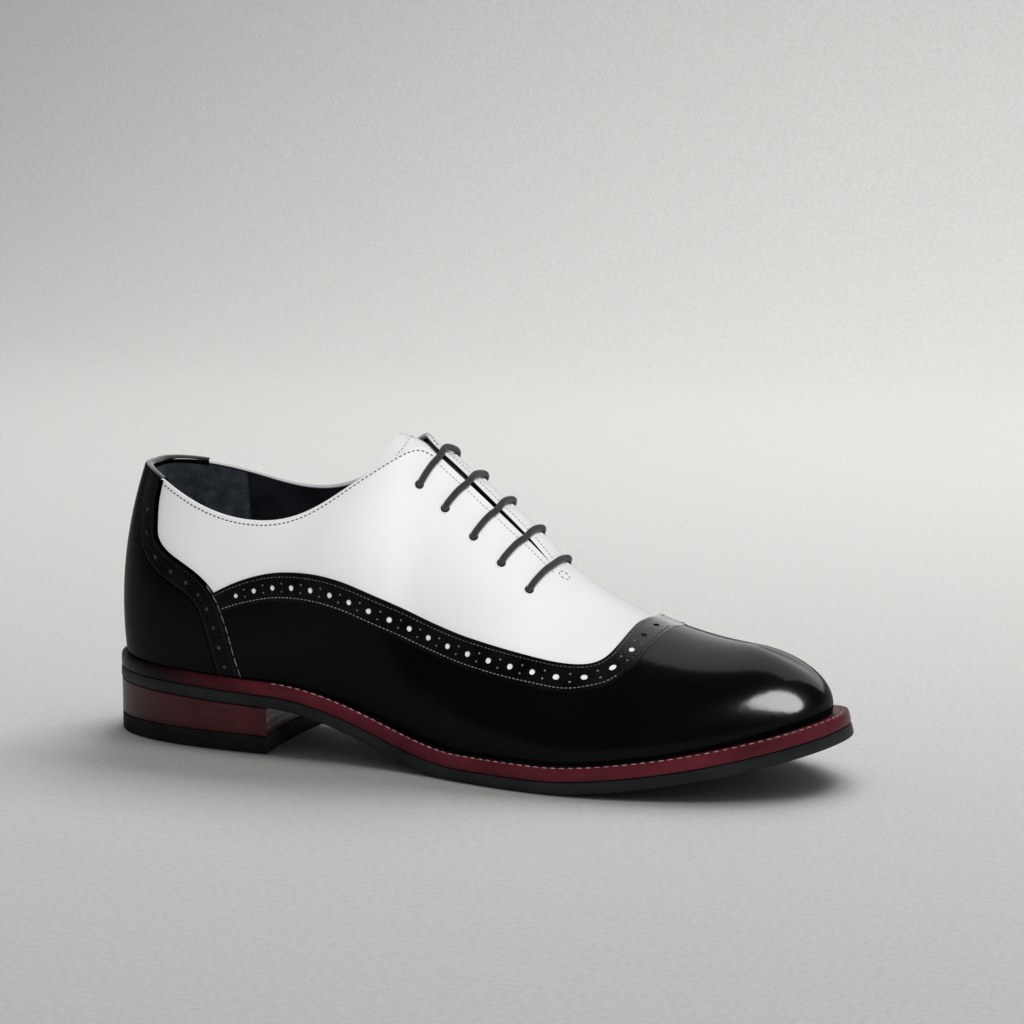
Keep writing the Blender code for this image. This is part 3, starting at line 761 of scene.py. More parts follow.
def leather_frame(turn, rise):
    """Points of the upper's outer face with its outward normal and its upward direction along the rib."""
    turn, rise = np.broadcast_arrays(np.asarray(turn, float), np.asarray(rise, float))
    step = 1e-3
    near = np.clip(rise, step, 1 - step)
    climb = rib_points(turn, near + step) - rib_points(turn, near - step)
    run = rib_points(turn + step, near) - rib_points(turn - step, near)
    return rib_points(turn, rise), unit(np.cross(run, climb)), unit(climb)


TURN_GRID = np.linspace(0, 2, 1201)
RISE_GRID = np.linspace(0, 1, 161)
SHARE_GRID = np.linspace(0, 1, 101)
rib_steps = np.linalg.norm(np.diff(rib_points(TURN_GRID[:, None], RISE_GRID), axis=1), axis=2)
rib_run = np.concatenate([np.zeros((len(TURN_GRID), 1)), np.cumsum(rib_steps, axis=1)], 1)
RISE_TABLE = np.array([np.interp(SHARE_GRID * run[-1], run, RISE_GRID) for run in rib_run])


def rib_length(turn):
    return np.interp(np.asarray(turn) % 2, TURN_GRID, rib_run[:, -1])


def rise_at(turn, share):
    """The rise at which each rib has run this share of its length."""
    turn, share = np.broadcast_arrays(np.asarray(turn, float) % 2, np.clip(np.asarray(share, float), 0, 1))
    column = turn / 2 * (len(TURN_GRID) - 1)
    row = share * (len(SHARE_GRID) - 1)
    i = np.clip(column.astype(int), 0, len(TURN_GRID) - 2)
    j = np.clip(row.astype(int), 0, len(SHARE_GRID) - 2)
    u, v = column - i, row - j
    low = RISE_TABLE[i, j] * (1 - v) + RISE_TABLE[i, j + 1] * v
    high = RISE_TABLE[i + 1, j] * (1 - v) + RISE_TABLE[i + 1, j + 1] * v
    return low * (1 - u) + high * u


def on_leather(turn, share, offset=0.0):
    """Points at this offset from the upper's outer face, and the outward normals there."""
    point, normal, _ = leather_frame(turn, rise_at(turn, share))
    return point + np.asarray(offset, float)[..., None] * normal, normal


def share_below_top(turn, distance):
    return 1 - np.asarray(distance) / rib_length(turn)


def calf_edge(turns):
    """Thickness of the white edge: folded along the collar, a plain thin cut along the slit."""
    side = np.minimum(turns % 2, 2 - turns % 2)
    slit = np.clip((side - turn_of(FOLD_END)) / (turn_of(SLIT_START) - turn_of(FOLD_END)), 0, 1)
    return CALF + (CALF_AT_SLIT - CALF) * slit


def spread(stretches):
    """Turns over stretches of the length, given as (from along, to along, count)."""
    turns = [np.linspace(turn_of(a), turn_of(b), n, endpoint=False) for a, b, n in stretches]
    return np.append(np.concatenate(turns), turn_of(stretches[-1][1]))


half_turns = spread(
    [(0.0, 0.08, 24), (0.08, 0.41, 56), (0.41, 0.48, 34), (0.48, THROAT_END, 36), (THROAT_END, 1.0, 70)]
)
ALL_TURNS = np.concatenate([half_turns, 2 - half_turns[-2:0:-1]])


def sheet_faces(grid):
    """Quads between the neighbouring columns of a grid of point numbers."""
    corners = np.stack([grid[:-1, :-1], grid[1:, :-1], grid[1:, 1:], grid[:-1, 1:]], -1)
    return [tuple(face) for face in corners.reshape(-1, 4).tolist()]


def white_shell(rows=52, fold=6):
    """The white wall: outer face, rolled edge along collar and facings, and the leather turned in behind."""
    turns = ALL_TURNS
    share = np.linspace(CALF_FOOT, 1, rows)
    outer = on_leather(turns[:, None], share[None, :])[0]
    top, normal, climb = leather_frame(turns, np.ones(len(turns)))
    rolled = []
    edge = calf_edge(turns)[:, None]
    for angle in np.linspace(0, math.pi, fold + 2)[1:]:
        reach = edge / 2 * (1 - math.cos(angle))
        rise = edge / 2 * math.sin(angle)
        rolled.append(top - reach * normal + rise * climb)
    depths = np.linspace(0, TURNED_IN, 5)[1:]
    turned = [on_leather(turns, share_below_top(turns, depth), -edge[:, 0])[0] for depth in depths]
    points = np.concatenate([outer, np.stack(rolled + turned, 1)], 1)
    total = points.shape[1]
    closed = np.minimum(turns, 2 - turns) > turn_of(THROAT_END) - 1e-9
    columns = len(turns)
    owner = np.arange(columns * total).reshape(columns, total)
    for i in range(columns):
        if closed[i] and turns[i] < 1:
            owner[columns - i, rows - 1] = owner[i, rows - 1]
    faces = []
    for i in range(columns):
        k = (i + 1) % columns
        faces += sheet_faces(owner[[i, k], : rows if closed[i] and closed[k] else total])
    return points.reshape(-1, 3), faces


def drop_loose(points, faces):
    """Only the points that faces use, and faces without repeated corners."""
    kept, seen, clean = [], {}, []
    for face in faces:
        corners = [v for n, v in enumerate(face) if v != face[n - 1]]
        if len(corners) < 3:
            continue
        for v in corners:
            if v not in seen:
                seen[v] = len(kept)
                kept.append(v)
        clean.append(tuple(seen[v] for v in corners))
    return np.asarray(points)[kept], clean


white = surface_finish(
    "white calf",
    (0.78, 0.785, 0.79),
    (0.84, 0.84, 0.84),
    22,
    (0.42, 0.52),
    2300,
    0.03,
    Specular_IOR_Level=0.35,
)
add_piece("white_quarters", *drop_loose(*white_shell()), white, ["upper"], "white_leather", sharp=60.0)


def sewing_thread(name, dark, light, rough=(0.5, 0.7)):
    return surface_finish(name, dark, light, 900, rough, 6000, 0.03)


def row_below_top(start, end, depth, medial, count=400):
    """A line that runs this far below the topline of one side, between two shares of the length."""
    turns = np.linspace(turn_of(start), turn_of(end), count)
    turns = 2 - turns if medial else turns
    return on_leather(turns, share_below_top(turns, depth))


dark_thread = sewing_thread("dark sewing thread", (0.03, 0.03, 0.032), (0.09, 0.09, 0.09))
SIDES = (("lateral", False), ("medial", True))
for side_name, medial in SIDES:
    stitches(
        f"collar_stitches_{side_name}",
        *row_below_top(STRAP_EDGE, SLIT_START, COLLAR_STITCH_DEPTH, medial),
        pitch=1.9,
        length=1.4,
        width=0.5,
        look=dark_thread,
    )
    stitches(
        f"facing_stitches_{side_name}",
        *row_below_top(*FACING_ROW, FACING_STITCH_DEPTH, medial),
        pitch=1.6,
        length=1.1,
        width=0.3,
        look=dark_thread,
    )

# Bar tack
# A small oval of grey stitches that stops the slit from tearing open at its lower end. They are sewn through
# the calf and the lining, and lie almost flat.
TACK_ALONG = 0.6425
TACK_REACH = 2.3
TACK_SPREAD = 1.7
tack_angle = np.linspace(0, 2 * math.pi, 60)
tack_centre, tack_normal, _ = leather_frame(turn_of(TACK_ALONG), 1.0)
crest_ahead, crest_behind = (leather_frame(turn_of(TACK_ALONG + step), 1.0)[0] for step in (0.01, -0.01))
tack_ahead = unit(crest_ahead - crest_behind)
tack_side = np.cross(tack_normal, tack_ahead)
tack_line = (
    tack_centre
    + TACK_REACH * np.cos(tack_angle)[:, None] * tack_ahead
    + TACK_SPREAD * np.sin(tack_angle)[:, None] * tack_side
    - (0.03 * np.sin(tack_angle) ** 2)[:, None] * tack_normal
)
grey_thread = sewing_thread("pale grey thread", (0.14, 0.14, 0.145), (0.30, 0.30, 0.30))
stitches(
    "bar_tack",
    tack_line,
    np.tile(tack_normal, (len(tack_line), 1)),
    pitch=1.9,
    length=1.35,
    width=0.45,
    look=grey_thread,
    sink=0.1,
)

# Lining
# Glossy black leather glued inside the white wall up to just under the folded edge, with a heel grip of dark
# suede sewn over it at the back.
LINING_DROP = 0.8
LINING_FACE = -1.75
GRIP_DROP = 1.6
GRIP_BACK = -1.6
GRIP_FACE = -2.15
GRIP_EDGE = 0.140
GRIP_STITCH_EDGE = GRIP_EDGE - 0.006


def lining_wall(turns, drop, outer, inner, rows, bottom=0.02):
    """A thin wall inside the upper, open below, with its upper edge rounded off."""
    edge = calf_edge(turns)
    at_slit = (CALF - edge) / (CALF - CALF_AT_SLIT)
    top = share_below_top(turns, drop * (1 - at_slit) + 0.1 * at_slit)
    outer = outer + (CALF - edge)
    share = bottom + np.linspace(0, 1, rows)[None, :] * (top[:, None] - bottom)
    face = on_leather(turns[:, None], share, inner)[0]
    edge_high = on_leather(turns, top + 0.08 / rib_length(turns), (outer + inner) / 2)[0]
    edge_back = on_leather(turns, top, outer)[0]
    return np.concatenate([face, edge_high[:, None], edge_back[:, None]], 1)


def lining_piece(name, turns, closed_ring, look, **sizes):
    points = lining_wall(turns, **sizes)
    columns, rows = points.shape[:2]
    grid = np.arange(columns * rows).reshape(columns, rows)[:, ::-1]
    if closed_ring:
        grid = np.concatenate([grid, grid[:1]])
    add_piece(name, points.reshape(-1, 3), sheet_faces(grid), look, slot="insole", sharp=60.0)


lining_and_slit_shade = surface_finish(
    "black lining leather and slit shade",
    (0.006, 0.0062, 0.008),
    (0.013, 0.0135, 0.017),
    60,
    (0.2, 0.34),
    1700,
    0.03,
    Coat_Weight=0.3,
    Coat_Roughness=0.2,
)
suede = surface_finish(
    "dark suede",
    (0.010, 0.014, 0.019),
    (0.034, 0.042, 0.052),
    260,
    (0.8, 0.95),
    3800,
    0.12,
    Sheen_Weight=0.15,
)
lining_piece(
    "lining", ALL_TURNS, True, lining_and_slit_shade, drop=LINING_DROP, outer=-CALF, inner=LINING_FACE, rows=30
)
grip_turns = np.linspace(-turn_of(GRIP_EDGE), turn_of(GRIP_EDGE), 90)
lining_piece("heel_grip", grip_turns, False, suede, drop=GRIP_DROP, outer=GRIP_BACK, inner=GRIP_FACE, rows=24)
for side_name, medial in SIDES:
    edge = 2 - turn_of(GRIP_STITCH_EDGE) if medial else turn_of(GRIP_STITCH_EDGE)
    grip_line, grip_normal = on_leather(edge, np.linspace(0.3, 0.96, 120), GRIP_FACE)
    stitches(f"grip_stitches_{side_name}", grip_line, -grip_normal, 1.9, 1.3, 0.4, dark_thread)

# Wing
# Black patent leather, stitched over the white vamp and quarters. Its upper edge, which runs straight across
# the vamp, is a strip of duller leather sewn on with two rows. It is punched with large holes that show
# white, with a pair of pinholes between each two.
WING_EDGE = (
    # along, lateral height, medial height
    (0.170, 29.8, 29.8),
    (0.206, 35.8, 35.8),
    (0.244, 40.5, 40.5),
    (0.295, 44.6, 44.6),
    (0.333, 47.0, 47.0),
    (0.383, 47.9, 47.9),
    (0.431, 47.1, 47.1),
    (0.490, 45.9, 45.9),
    (0.535, 43.8, 43.8),
    (0.592, 41.1, 41.1),
    (0.648, 39.3, 39.3),
    (0.688, 38.5, 38.5),
    (0.714, 39.6, 39.2),
    (0.728, 42.7, 40.8),
    (0.740, 49.2, 43.6),
    (0.749, 56.2, 47.8),
    (0.757, 62.2, 52.8),
    (0.766, 66.2, 59.4),
)
BAND_EDGE = (
    # along, lateral height, medial height
    (0.170, 22.6, 22.6),
    (0.206, 27.2, 27.2),
    (0.244, 30.9, 30.9),
    (0.295, 34.4, 34.4),
    (0.333, 36.2, 36.2),
    (0.383, 36.6, 36.6),
    (0.431, 35.8, 35.8),
    (0.490, 34.9, 34.9),
    (0.535, 32.8, 32.8),
    (0.592, 30.0, 30.0),
    (0.648, 28.4, 28.4),
    (0.688, 27.7, 27.7),
    (0.719, 29.2, 28.8),
    (0.740, 31.4, 30.6),
    (0.756, 35.4, 33.4),
    (0.767, 39.2, 36.2),
    (0.774, 43.8, 38.4),
    (0.783, 49.0, 43.2),
    (0.794, 55.4, 48.8),
    (0.805, 61.2, 55.0),
)
COUNTER_EDGE = (
    # rise, along
    (0.000, 0.219),
    (0.143, 0.210),
    (0.294, 0.202),
    (0.430, 0.191),
    (0.528, 0.177),
    (0.580, 0.160),
    (0.616, 0.135),
    (0.638, 0.111),
    (0.671, 0.092),
    (0.753, 0.082),
    (0.867, 0.079),
    (1.000, 0.082),
)
VAMP_POINT = 0.772
BAND_POINT = 0.811
POINT_ASIDE = 4.0
BODY_CLOSES = 0.80
UNDER_STRIP = 0.18
WING_LIFT = 0.95
BAND_LIFT = 1.25
HOLE_PITCH = 9.0
HOLE_RADIUS = 1.15
PINHOLE_RADIUS = 0.42
FIRST_HOLE = 10.3
LAST_HOLE = 4.0
POINT_HOLES = 2
SKIVE = 0.7
HOLE_DEPTH = 0.55
PINHOLE_DEPTH = 0.15
HOLE_LINE = 0.52
PINHOLE_SPLIT = (-0.15, 0.15)
UPPER_ROW = 0.12
LOWER_ROW = 0.90
ROW_START = 0.004
POINT_START = 0.83
ROW_END = 0.98
OVERLAY_FOOT = 0.004
FOOT_TUCK = 0.5


def edge_curves(rows, end):
    """Height of an edge on the lateral and the medial side, up to where the two meet beside the crest."""
    last = turn_of(end)
    knots = [turn_of(row[0]) for row in rows] + [last]
    tops = [float(rib_length(last)) + POINT_ASIDE, float(rib_length(2 - last)) - POINT_ASIDE]
    return [smooth_curve(knots, [row[side + 1] for row in rows] + [tops[side]]) for side in (0, 1)]


wing_heights = edge_curves(WING_EDGE, VAMP_POINT)
band_heights = edge_curves(BAND_EDGE, BAND_POINT)
counter_turn = smooth_curve([row[0] for row in COUNTER_EDGE], [turn_of(row[1]) for row in COUNTER_EDGE])


def edge_share(heights, turn, end, side):
    """The share of a rib's length that lies under an edge, over 1 where the edge has crossed the crest."""
    before_end = np.minimum(turn, turn_of(end))
    return heights[side](before_end) / rib_length(2 - turn if side else turn)


def over_crest(turn, share):
    """A place on the leather whose share may run past the crest, down the other side."""
    past = share > 1
    other = 1 - (share - 1) * rib_length(turn) / rib_length(2 - turn)
    return np.where(past, 2 - turn, turn), np.where(past, other, share)


def wing_body(rows=34):
    """The patent leather from the counter round the toe to the counter, up to under the punched strip."""
    half = spread([(0.165, 0.70, 130), (0.70, 0.84, 60), (0.84, 1.0, 70)])
    shares = []
    for side in (0, 1):
        low = edge_share(band_heights, half, BAND_POINT, side)
        high = edge_share(wing_heights, half, VAMP_POINT, side)
        under = np.minimum((1 - UNDER_STRIP) * low + UNDER_STRIP * high, 1)
        top = np.where(half < turn_of(BODY_CLOSES), under, 1.0)
        shares.append(OVERLAY_FOOT + np.linspace(0, 1, rows)[None, :] * (top[:, None] - OVERLAY_FOOT))
    turns = np.concatenate([half, 2 - half[-2::-1]])
    share = np.concatenate([shares[0], shares[1][-2::-1]])
    points = on_leather(turns[:, None], share, WING_LIFT)[0]
    points[:, 0, 2] -= FOOT_TUCK
    columns = len(turns)
    owner = np.arange(columns * rows).reshape(columns, rows)
    for i in range(columns // 2):
        if top[i] >= 1:
            owner[columns - 1 - i, -1] = owner[i, -1]
    return drop_loose(points.reshape(-1, 3), sheet_faces(owner))


def patent_finish():
    """Black patent: a hard clear film over black leather, its reflections broken by a slight orange peel."""
    look = surface_finish(
        "black patent",
        (0.0008, 0.0008, 0.0009),
        (0.0018, 0.0018, 0.0019),
        30,
        (0.12, 0.22),
        420,
        0.012,
        Specular_IOR_Level=0.0,
        Coat_Weight=0.25,
        Coat_Roughness=0.15,
        Coat_IOR=1.4,
    )
    tree = look.node_tree
    shader = tree.nodes["Principled BSDF"]
    place = tree.nodes["Texture Coordinate"].outputs["Object"]
    peel = tree.nodes.new("ShaderNodeTexNoise")
    peel.inputs["Scale"].default_value = 330.0
    peel.inputs["Detail"].default_value = 2.0
    film = tree.nodes.new("ShaderNodeBump")
    film.inputs["Distance"].default_value = 0.04 * MM
    tree.links.new(place, peel.inputs["Vector"])
    tree.links.new(peel.outputs["Fac"], film.inputs["Height"])
    tree.links.new(film.outputs["Normal"], shader.inputs["Coat Normal"])
    return look


patent = patent_finish()
add_piece("wing_patent", *wing_body(), patent, ["wing_vamp"], "patent_wing", sharp=60.0)


def even_line(turns, shares, count):
    """The line through these places of the leather at even steps of its own length."""
    points = on_leather(*over_crest(turns, shares))[0]
    run = run_along(points)
    steps = np.linspace(0, run[-1], count)
    return np.interp(steps, run, turns), np.interp(steps, run, shares), run[-1]


class Strip:
    """A strip of leather between two edge lines: p runs along it, q across it from its outer edge, 0 to 1."""

    def __init__(self, outer, inner, lift, mirrored):
        count = 600
        self.p = np.linspace(0, 1, count)
        outer, inner = even_line(*outer, count), even_line(*inner, count)
        self.length = (outer[2] + inner[2]) / 2
        facing = self.facing(outer, inner)
        self.turns = [outer[0], np.interp(facing, self.p, inner[0])]
        self.shares = [outer[1], np.interp(facing, self.p, inner[1])]
        self.lift = lift
        self.mirrored = mirrored
        across = self.at(self.p, 0.0)[0] - self.at(self.p, 1.0)[0]
        self.width = float(np.median(np.linalg.norm(across, axis=1)))

    def facing(self, outer, inner, end_run=14.0, smooth=31):
        """Where on the inner edge each place of the outer edge looks: straight across, ends on ends."""
        apart = on_leather(*over_crest(*outer[:2]))[0][:, None] - on_leather(*over_crest(*inner[:2]))[0][None]
        across = np.maximum.accumulate(self.p[np.linalg.norm(apart, axis=2).argmin(axis=1)])
        padded = np.pad(across, smooth // 2, mode="edge")
        across = np.convolve(padded, np.full(smooth, 1 / smooth), mode="valid")
        to_end = np.clip(np.minimum(self.p, 1 - self.p) * self.length / end_run, 0, 1)
        blend = to_end**2 * (3 - 2 * to_end)
        return np.maximum.accumulate(self.p + blend * (across - self.p))

    def place(self, p, q):
        a, b = (np.interp(p, self.p, line) for line in self.turns)
        c, d = (np.interp(p, self.p, line) for line in self.shares)
        turn = a + (b - a) * q
        return (2 - turn if self.mirrored else turn), c + (d - c) * q

    def at(self, p, q, offset=0.0):
        p, q, offset = np.broadcast_arrays(*(np.asarray(v, float) for v in (p, q, offset)))
        turn, share = over_crest(*self.place(p, q))
        return on_leather(turn, share, self.lift + offset)


def circle(centre, radius, sides):
    angle = round_angles(sides)
    return centre + radius * np.stack([np.cos(angle), np.sin(angle)], 1)


def punched_strip(name, strip, holes, drop, look, slot, sheet=1.5):
    """The strip's face cut round its holes, the walls of the holes and the two turned-down long edges."""
    length, width = strip.length, strip.width
    across = np.linspace(0, width, max(int(width / sheet), 4) + 1)
    along = np.linspace(0, length, int(length / sheet) + 1)
    grid = np.stack(np.meshgrid(along, across, indexing="ij"), -1).reshape(-1, 2)
    for centre, radius in holes:
        grid = grid[np.linalg.norm(grid - centre, axis=1) > radius + 0.3]
    rims = [circle(np.array(centre), radius, 18 if radius > 0.6 else 8) for centre, radius in holes]
    plane = np.concatenate([grid, *rims])
    edges, start = [], len(grid)
    for rim in rims:
        edges += [(start + k, start + (k + 1) % len(rim)) for k in range(len(rim))]
        start += len(rim)
    cut = geometry.delaunay_2d_cdt([tuple(v) for v in plane], edges, [], 0, 1e-5)
    flat = np.array([tuple(v) for v in cut[0]])
    faces = [tuple(face) for face in cut[2]]
    middle = np.array([flat[list(face)].mean(axis=0) for face in faces])
    inside = np.zeros(len(faces), bool)
    for centre, radius in holes:
        inside |= np.linalg.norm(middle - centre, axis=1) < radius * 0.97
    faces = [face for face, gone in zip(faces, inside) if not gone]
    points, normals = strip.at(flat[:, 0] / length, flat[:, 1] / width)
    flip = -1 if strip.mirrored else 1
    corner = points[list(faces[0])]
    if np.dot(np.cross(corner[1] - corner[0], corner[2] - corner[0]), normals[faces[0][0]]) < 0:
        faces = [face[::-1] for face in faces]
    all_points, all_normals = [points], [normals]
    count = len(points)

    def add_rows(rows, outward, closed):
        nonlocal count
        n = len(rows[0])
        for a in range(len(rows) - 1):
            for k in range(n if closed else n - 1):
                i, j = count + a * n + k, count + a * n + (k + 1) % n
                faces.append((i, j, j + n, i + n))
        for row, normal in zip(rows, outward):
            all_points.append(row)
            all_normals.append(normal)
        count += n * len(rows)

    for rim in rims:
        centre = rim.mean(axis=0)
        p, q = rim[:, 0] / length, rim[:, 1] / width
        rows = [strip.at(p, q)[0], strip.at(p, q, -drop)[0]]
        towards = unit(strip.at(centre[0] / length, centre[1] / width)[0] - rows[0])
        add_rows(rows[:: -flip], [towards, towards], True)
    p = np.linspace(0, 1, int(length / 1.2))
    for q, down in ((0.0, strip.lift), (1.0, drop)):
        edge, normal = strip.at(p, q)
        other = strip.at(p, 1 - q)[0]
        out = unit(edge - other)
        skive = ((0.0, 0.0), (0.3, 0.12), (0.6, 0.45), (0.75, 0.85), (0.85, 1.0))
        rows = [edge + SKIVE * a * out - max(down, 0.3) * b * normal for a, b in skive]
        normals_out = [unit((1 - b) * normal + b * out) for _, b in skive]
        order = 1 if (q == 0.0) == (flip > 0) else -1
        add_rows(rows[::order], normals_out[::order], False)
    points, normals = np.concatenate(all_points), np.concatenate(all_normals)
    add_piece(name, points, faces, look, slot=slot, sharp=180.0, normals=normals)


def hole_row(strip, q, pitch, radius, pin_radius, pin_split, first, last):
    """Large holes in a row along the strip, with a pair of pinholes half way between each two."""
    places = np.arange(first, strip.length - last, pitch)
    large = [(np.array([x, q * strip.width]), radius) for x in places]
    small = []
    for x in (places[:-1] + places[1:]) / 2:
        small += [(np.array([x, (q + s) * strip.width]), pin_radius) for s in pin_split]
    return large, small


def hole_floor(name, strip, holes, depth, look, slot, sides=14):
    """Discs at the bottom of the holes, where the leather beneath shows, coloured by the look given."""
    points, faces = [], []
    for centre, radius in holes:
        rim = circle(np.array(centre), radius * 1.04, sides)
        start = len(points) * sides
        points.append(strip.at(rim[:, 0] / strip.length, rim[:, 1] / strip.width, -depth)[0])
        faces.append(tuple(range(start, start + sides))[:: -1 if strip.mirrored else 1])
    points = np.concatenate(points)
    corner = points[list(faces[0][:3])]
    outward = strip.at(holes[0][0][0] / strip.length, holes[0][0][1] / strip.width)[1]
    if np.dot(np.cross(corner[1] - corner[0], corner[2] - corner[0]), outward) < 0:
        faces = [face[::-1] for face in faces]
    add_piece(name, points, faces, look, slot=slot)


def counter_meets(heights, end, side, start_rise=0.5):
    """The turn at which the counter's front edge crosses one of the wing's edges."""
    rise = start_rise
    for _ in range(14):
        turn = counter_turn(rise)
        rise = float(rise_at(2 - turn if side else turn, edge_share(heights, turn, end, side)))
    return float(counter_turn(rise))


def wing_strip(mirrored):
    gap = 0.0006
    lines = []
    for heights, end in ((wing_heights, VAMP_POINT), (band_heights, BAND_POINT)):
        line = np.linspace(counter_meets(heights, end, int(mirrored)) + gap, turn_of(end), 500)
        lines.append((line, edge_share(heights, line, end, int(mirrored))))
    return Strip(*lines, BAND_LIFT, mirrored)


band_leather = surface_finish(
    "black strip leather",
    (0.0015, 0.0015, 0.0016),
    (0.0050, 0.0050, 0.0053),
    80,
    (0.2, 0.3),
    1300,
    0.08,
    Specular_IOR_Level=0.08,
)


def underlay(name, dark, light, rough):
    return surface_finish(name, dark, light, 300, rough, 2000, 0.03)


# The white calf under the large holes, painted a little brighter than the calf around it, as painted light on
# the hole floors.
brightened_white_underlay = underlay("white underlay painted brighter", (0.80, 0.80, 0.81), (0.93, 0.93, 0.93), (0.4, 0.55))
dark_floor = underlay("dark underlay", (0.012, 0.012, 0.013), (0.05, 0.05, 0.052), (0.3, 0.5))
# The pinholes' floors lie on the white calf. They are painted grey as the shade in such small holes.
painted_pinhole_shade = underlay("painted pinhole shade", (0.10, 0.10, 0.10), (0.26, 0.26, 0.26), (0.4, 0.6))
sewing_black = sewing_thread("black sewing thread", (0.003, 0.003, 0.0032), (0.012, 0.012, 0.013), (0.3, 0.5))
sewing_dull = sewing_thread("dull sewing thread", (0.03, 0.03, 0.031), (0.17, 0.17, 0.172), (0.35, 0.55))
sewing_grey = sewing_thread("grey sewing thread", (0.12, 0.12, 0.122), (0.34, 0.34, 0.342), (0.35, 0.55))
for side_name, mirrored in SIDES:
    strip = wing_strip(mirrored)
    large, small = hole_row(
        strip, HOLE_LINE, HOLE_PITCH, HOLE_RADIUS, PINHOLE_RADIUS, PINHOLE_SPLIT, FIRST_HOLE, LAST_HOLE
    )
    punched_strip(f"wing_band_{side_name}", strip, large + small, HOLE_DEPTH, band_leather, "patent_wing")
    depth = HOLE_DEPTH - 0.05
    shown, dim = large[:-POINT_HOLES], large[-POINT_HOLES:]
    hole_floor(f"wing_hole_floors_{side_name}", strip, shown, depth, brightened_white_underlay, "white_leather")
    hole_floor(f"wing_point_floors_{side_name}", strip, dim, depth, dark_floor, "patent_wing")
    # Pinhole floors: white calf painted grey as shade.
    hole_floor(f"wing_pinholes_{side_name}", strip, small, PINHOLE_DEPTH, painted_pinhole_shade, "white_leather")
    for row_name, q, reach, thread in (
        ("upper", UPPER_ROW, (ROW_START, ROW_END), sewing_dull),
        ("lower", LOWER_ROW, (ROW_START, POINT_START), sewing_grey),
        ("point", LOWER_ROW, (POINT_START, ROW_END), sewing_black),
    ):
        line = strip.at(np.linspace(*reach, 700), q)
        stitches(f"wing_{row_name}_stitches_{side_name}", *line, 1.6, 1.15, 0.36, thread, sink=0.15)

# Heel counter
# Black patent with its back strap in one piece, stitched over the ends of the wing and folded over the collar
# at the back. A punched strip runs along its front edge.
COUNTER_LIFT = 1.35
COUNTER_BAND_LIFT = 1.65
COUNTER_BAND = 9.5
COUNTER_HOLE_LINE = 0.55
COUNTER_HOLE_PITCH = 8.5
COUNTER_HOLE_RADIUS = 0.85
COUNTER_HOLE_ENDS = 5.0
COUNTER_PINHOLE_SPLIT = (-0.14, 0.14)
COUNTER_ROWS = (("front", 0.13), ("back", 0.9))
EDGE_HIGHLIGHT_END = 0.42
STRAP_FOLD = 1.2
STRAP_INNER = WALL + 0.5


def counter_body(columns=97, rows=60):
    """The counter round the heel, from one front edge to the other, rolled over the collar."""
    share = np.linspace(OVERLAY_FOOT, 1, rows)
    across = np.linspace(-1, 1, columns)[:, None]
    guess = rise_at(0.12, share)
    turns = across * counter_turn(guess)[None, :]
    outer = on_leather(turns, share[None, :], COUNTER_LIFT)[0]
    outer[:, 0, 2] -= FOOT_TUCK
    top, normal, climb = leather_frame(turns[:, -1], np.ones(columns))
    rows_over = []
    middle, radius = (COUNTER_LIFT - STRAP_INNER) / 2, (COUNTER_LIFT + STRAP_INNER) / 2
    for angle in np.linspace(0, math.pi, 12)[1:]:
        over = (0.3 * radius + 0.6 * CALF) * math.sin(angle)
        rows_over.append(top + (middle + radius * math.cos(angle)) * normal + over * climb)
    for depth in np.linspace(0, STRAP_FOLD, 5)[1:]:
        share_in = share_below_top(turns[:, -1], depth)
        rows_over.append(on_leather(turns[:, -1], share_in, -STRAP_INNER)[0])
    points = np.concatenate([outer, np.stack(rows_over, 1)], 1)
    return points.reshape(-1, 3), sheet_faces(np.arange(points.size // 3).reshape(points.shape[:2]))


add_piece("counter_patent", *counter_body(), patent, ["heel_counter"], "patent_counter", sharp=60.0)
# A thin grey strand laid along the lower part of the counter's front edge is a painted highlight, for the
# light that the turned edge catches.
painted_edge_highlight = surface_finish(
    "painted edge highlight", (0.05, 0.05, 0.052), (0.16, 0.16, 0.162), 700, (0.4, 0.6), 3000, 0.04
)


def offset_line(turns, shares, distance):
    """The line that runs this far to the heel side of a line on the leather."""
    step = 1e-3
    ahead = on_leather(turns + step, shares)[0] - on_leather(turns - step, shares)[0]
    run = np.linalg.norm(ahead, axis=1) / (2 * step)
    climb = rib_length(turns)
    dx, dy = np.gradient(turns) * run, np.gradient(shares) * climb
    size = np.hypot(dx, dy)
    return turns - distance * dy / size / run, shares + distance * dx / size / climb


def counter_strip(mirrored):
    rise = np.linspace(OVERLAY_FOOT, 1.0, 500)
    turns = counter_turn(rise)
    shares = np.array([np.interp(r, rise_at(t, SHARE_GRID), SHARE_GRID) for r, t in zip(rise, turns)])
    inner_turns, inner_shares = offset_line(turns, shares, COUNTER_BAND)
    keep = np.maximum.accumulate(np.clip(inner_shares, OVERLAY_FOOT, 1))
    return Strip((turns, shares), (inner_turns, keep), COUNTER_BAND_LIFT, mirrored)


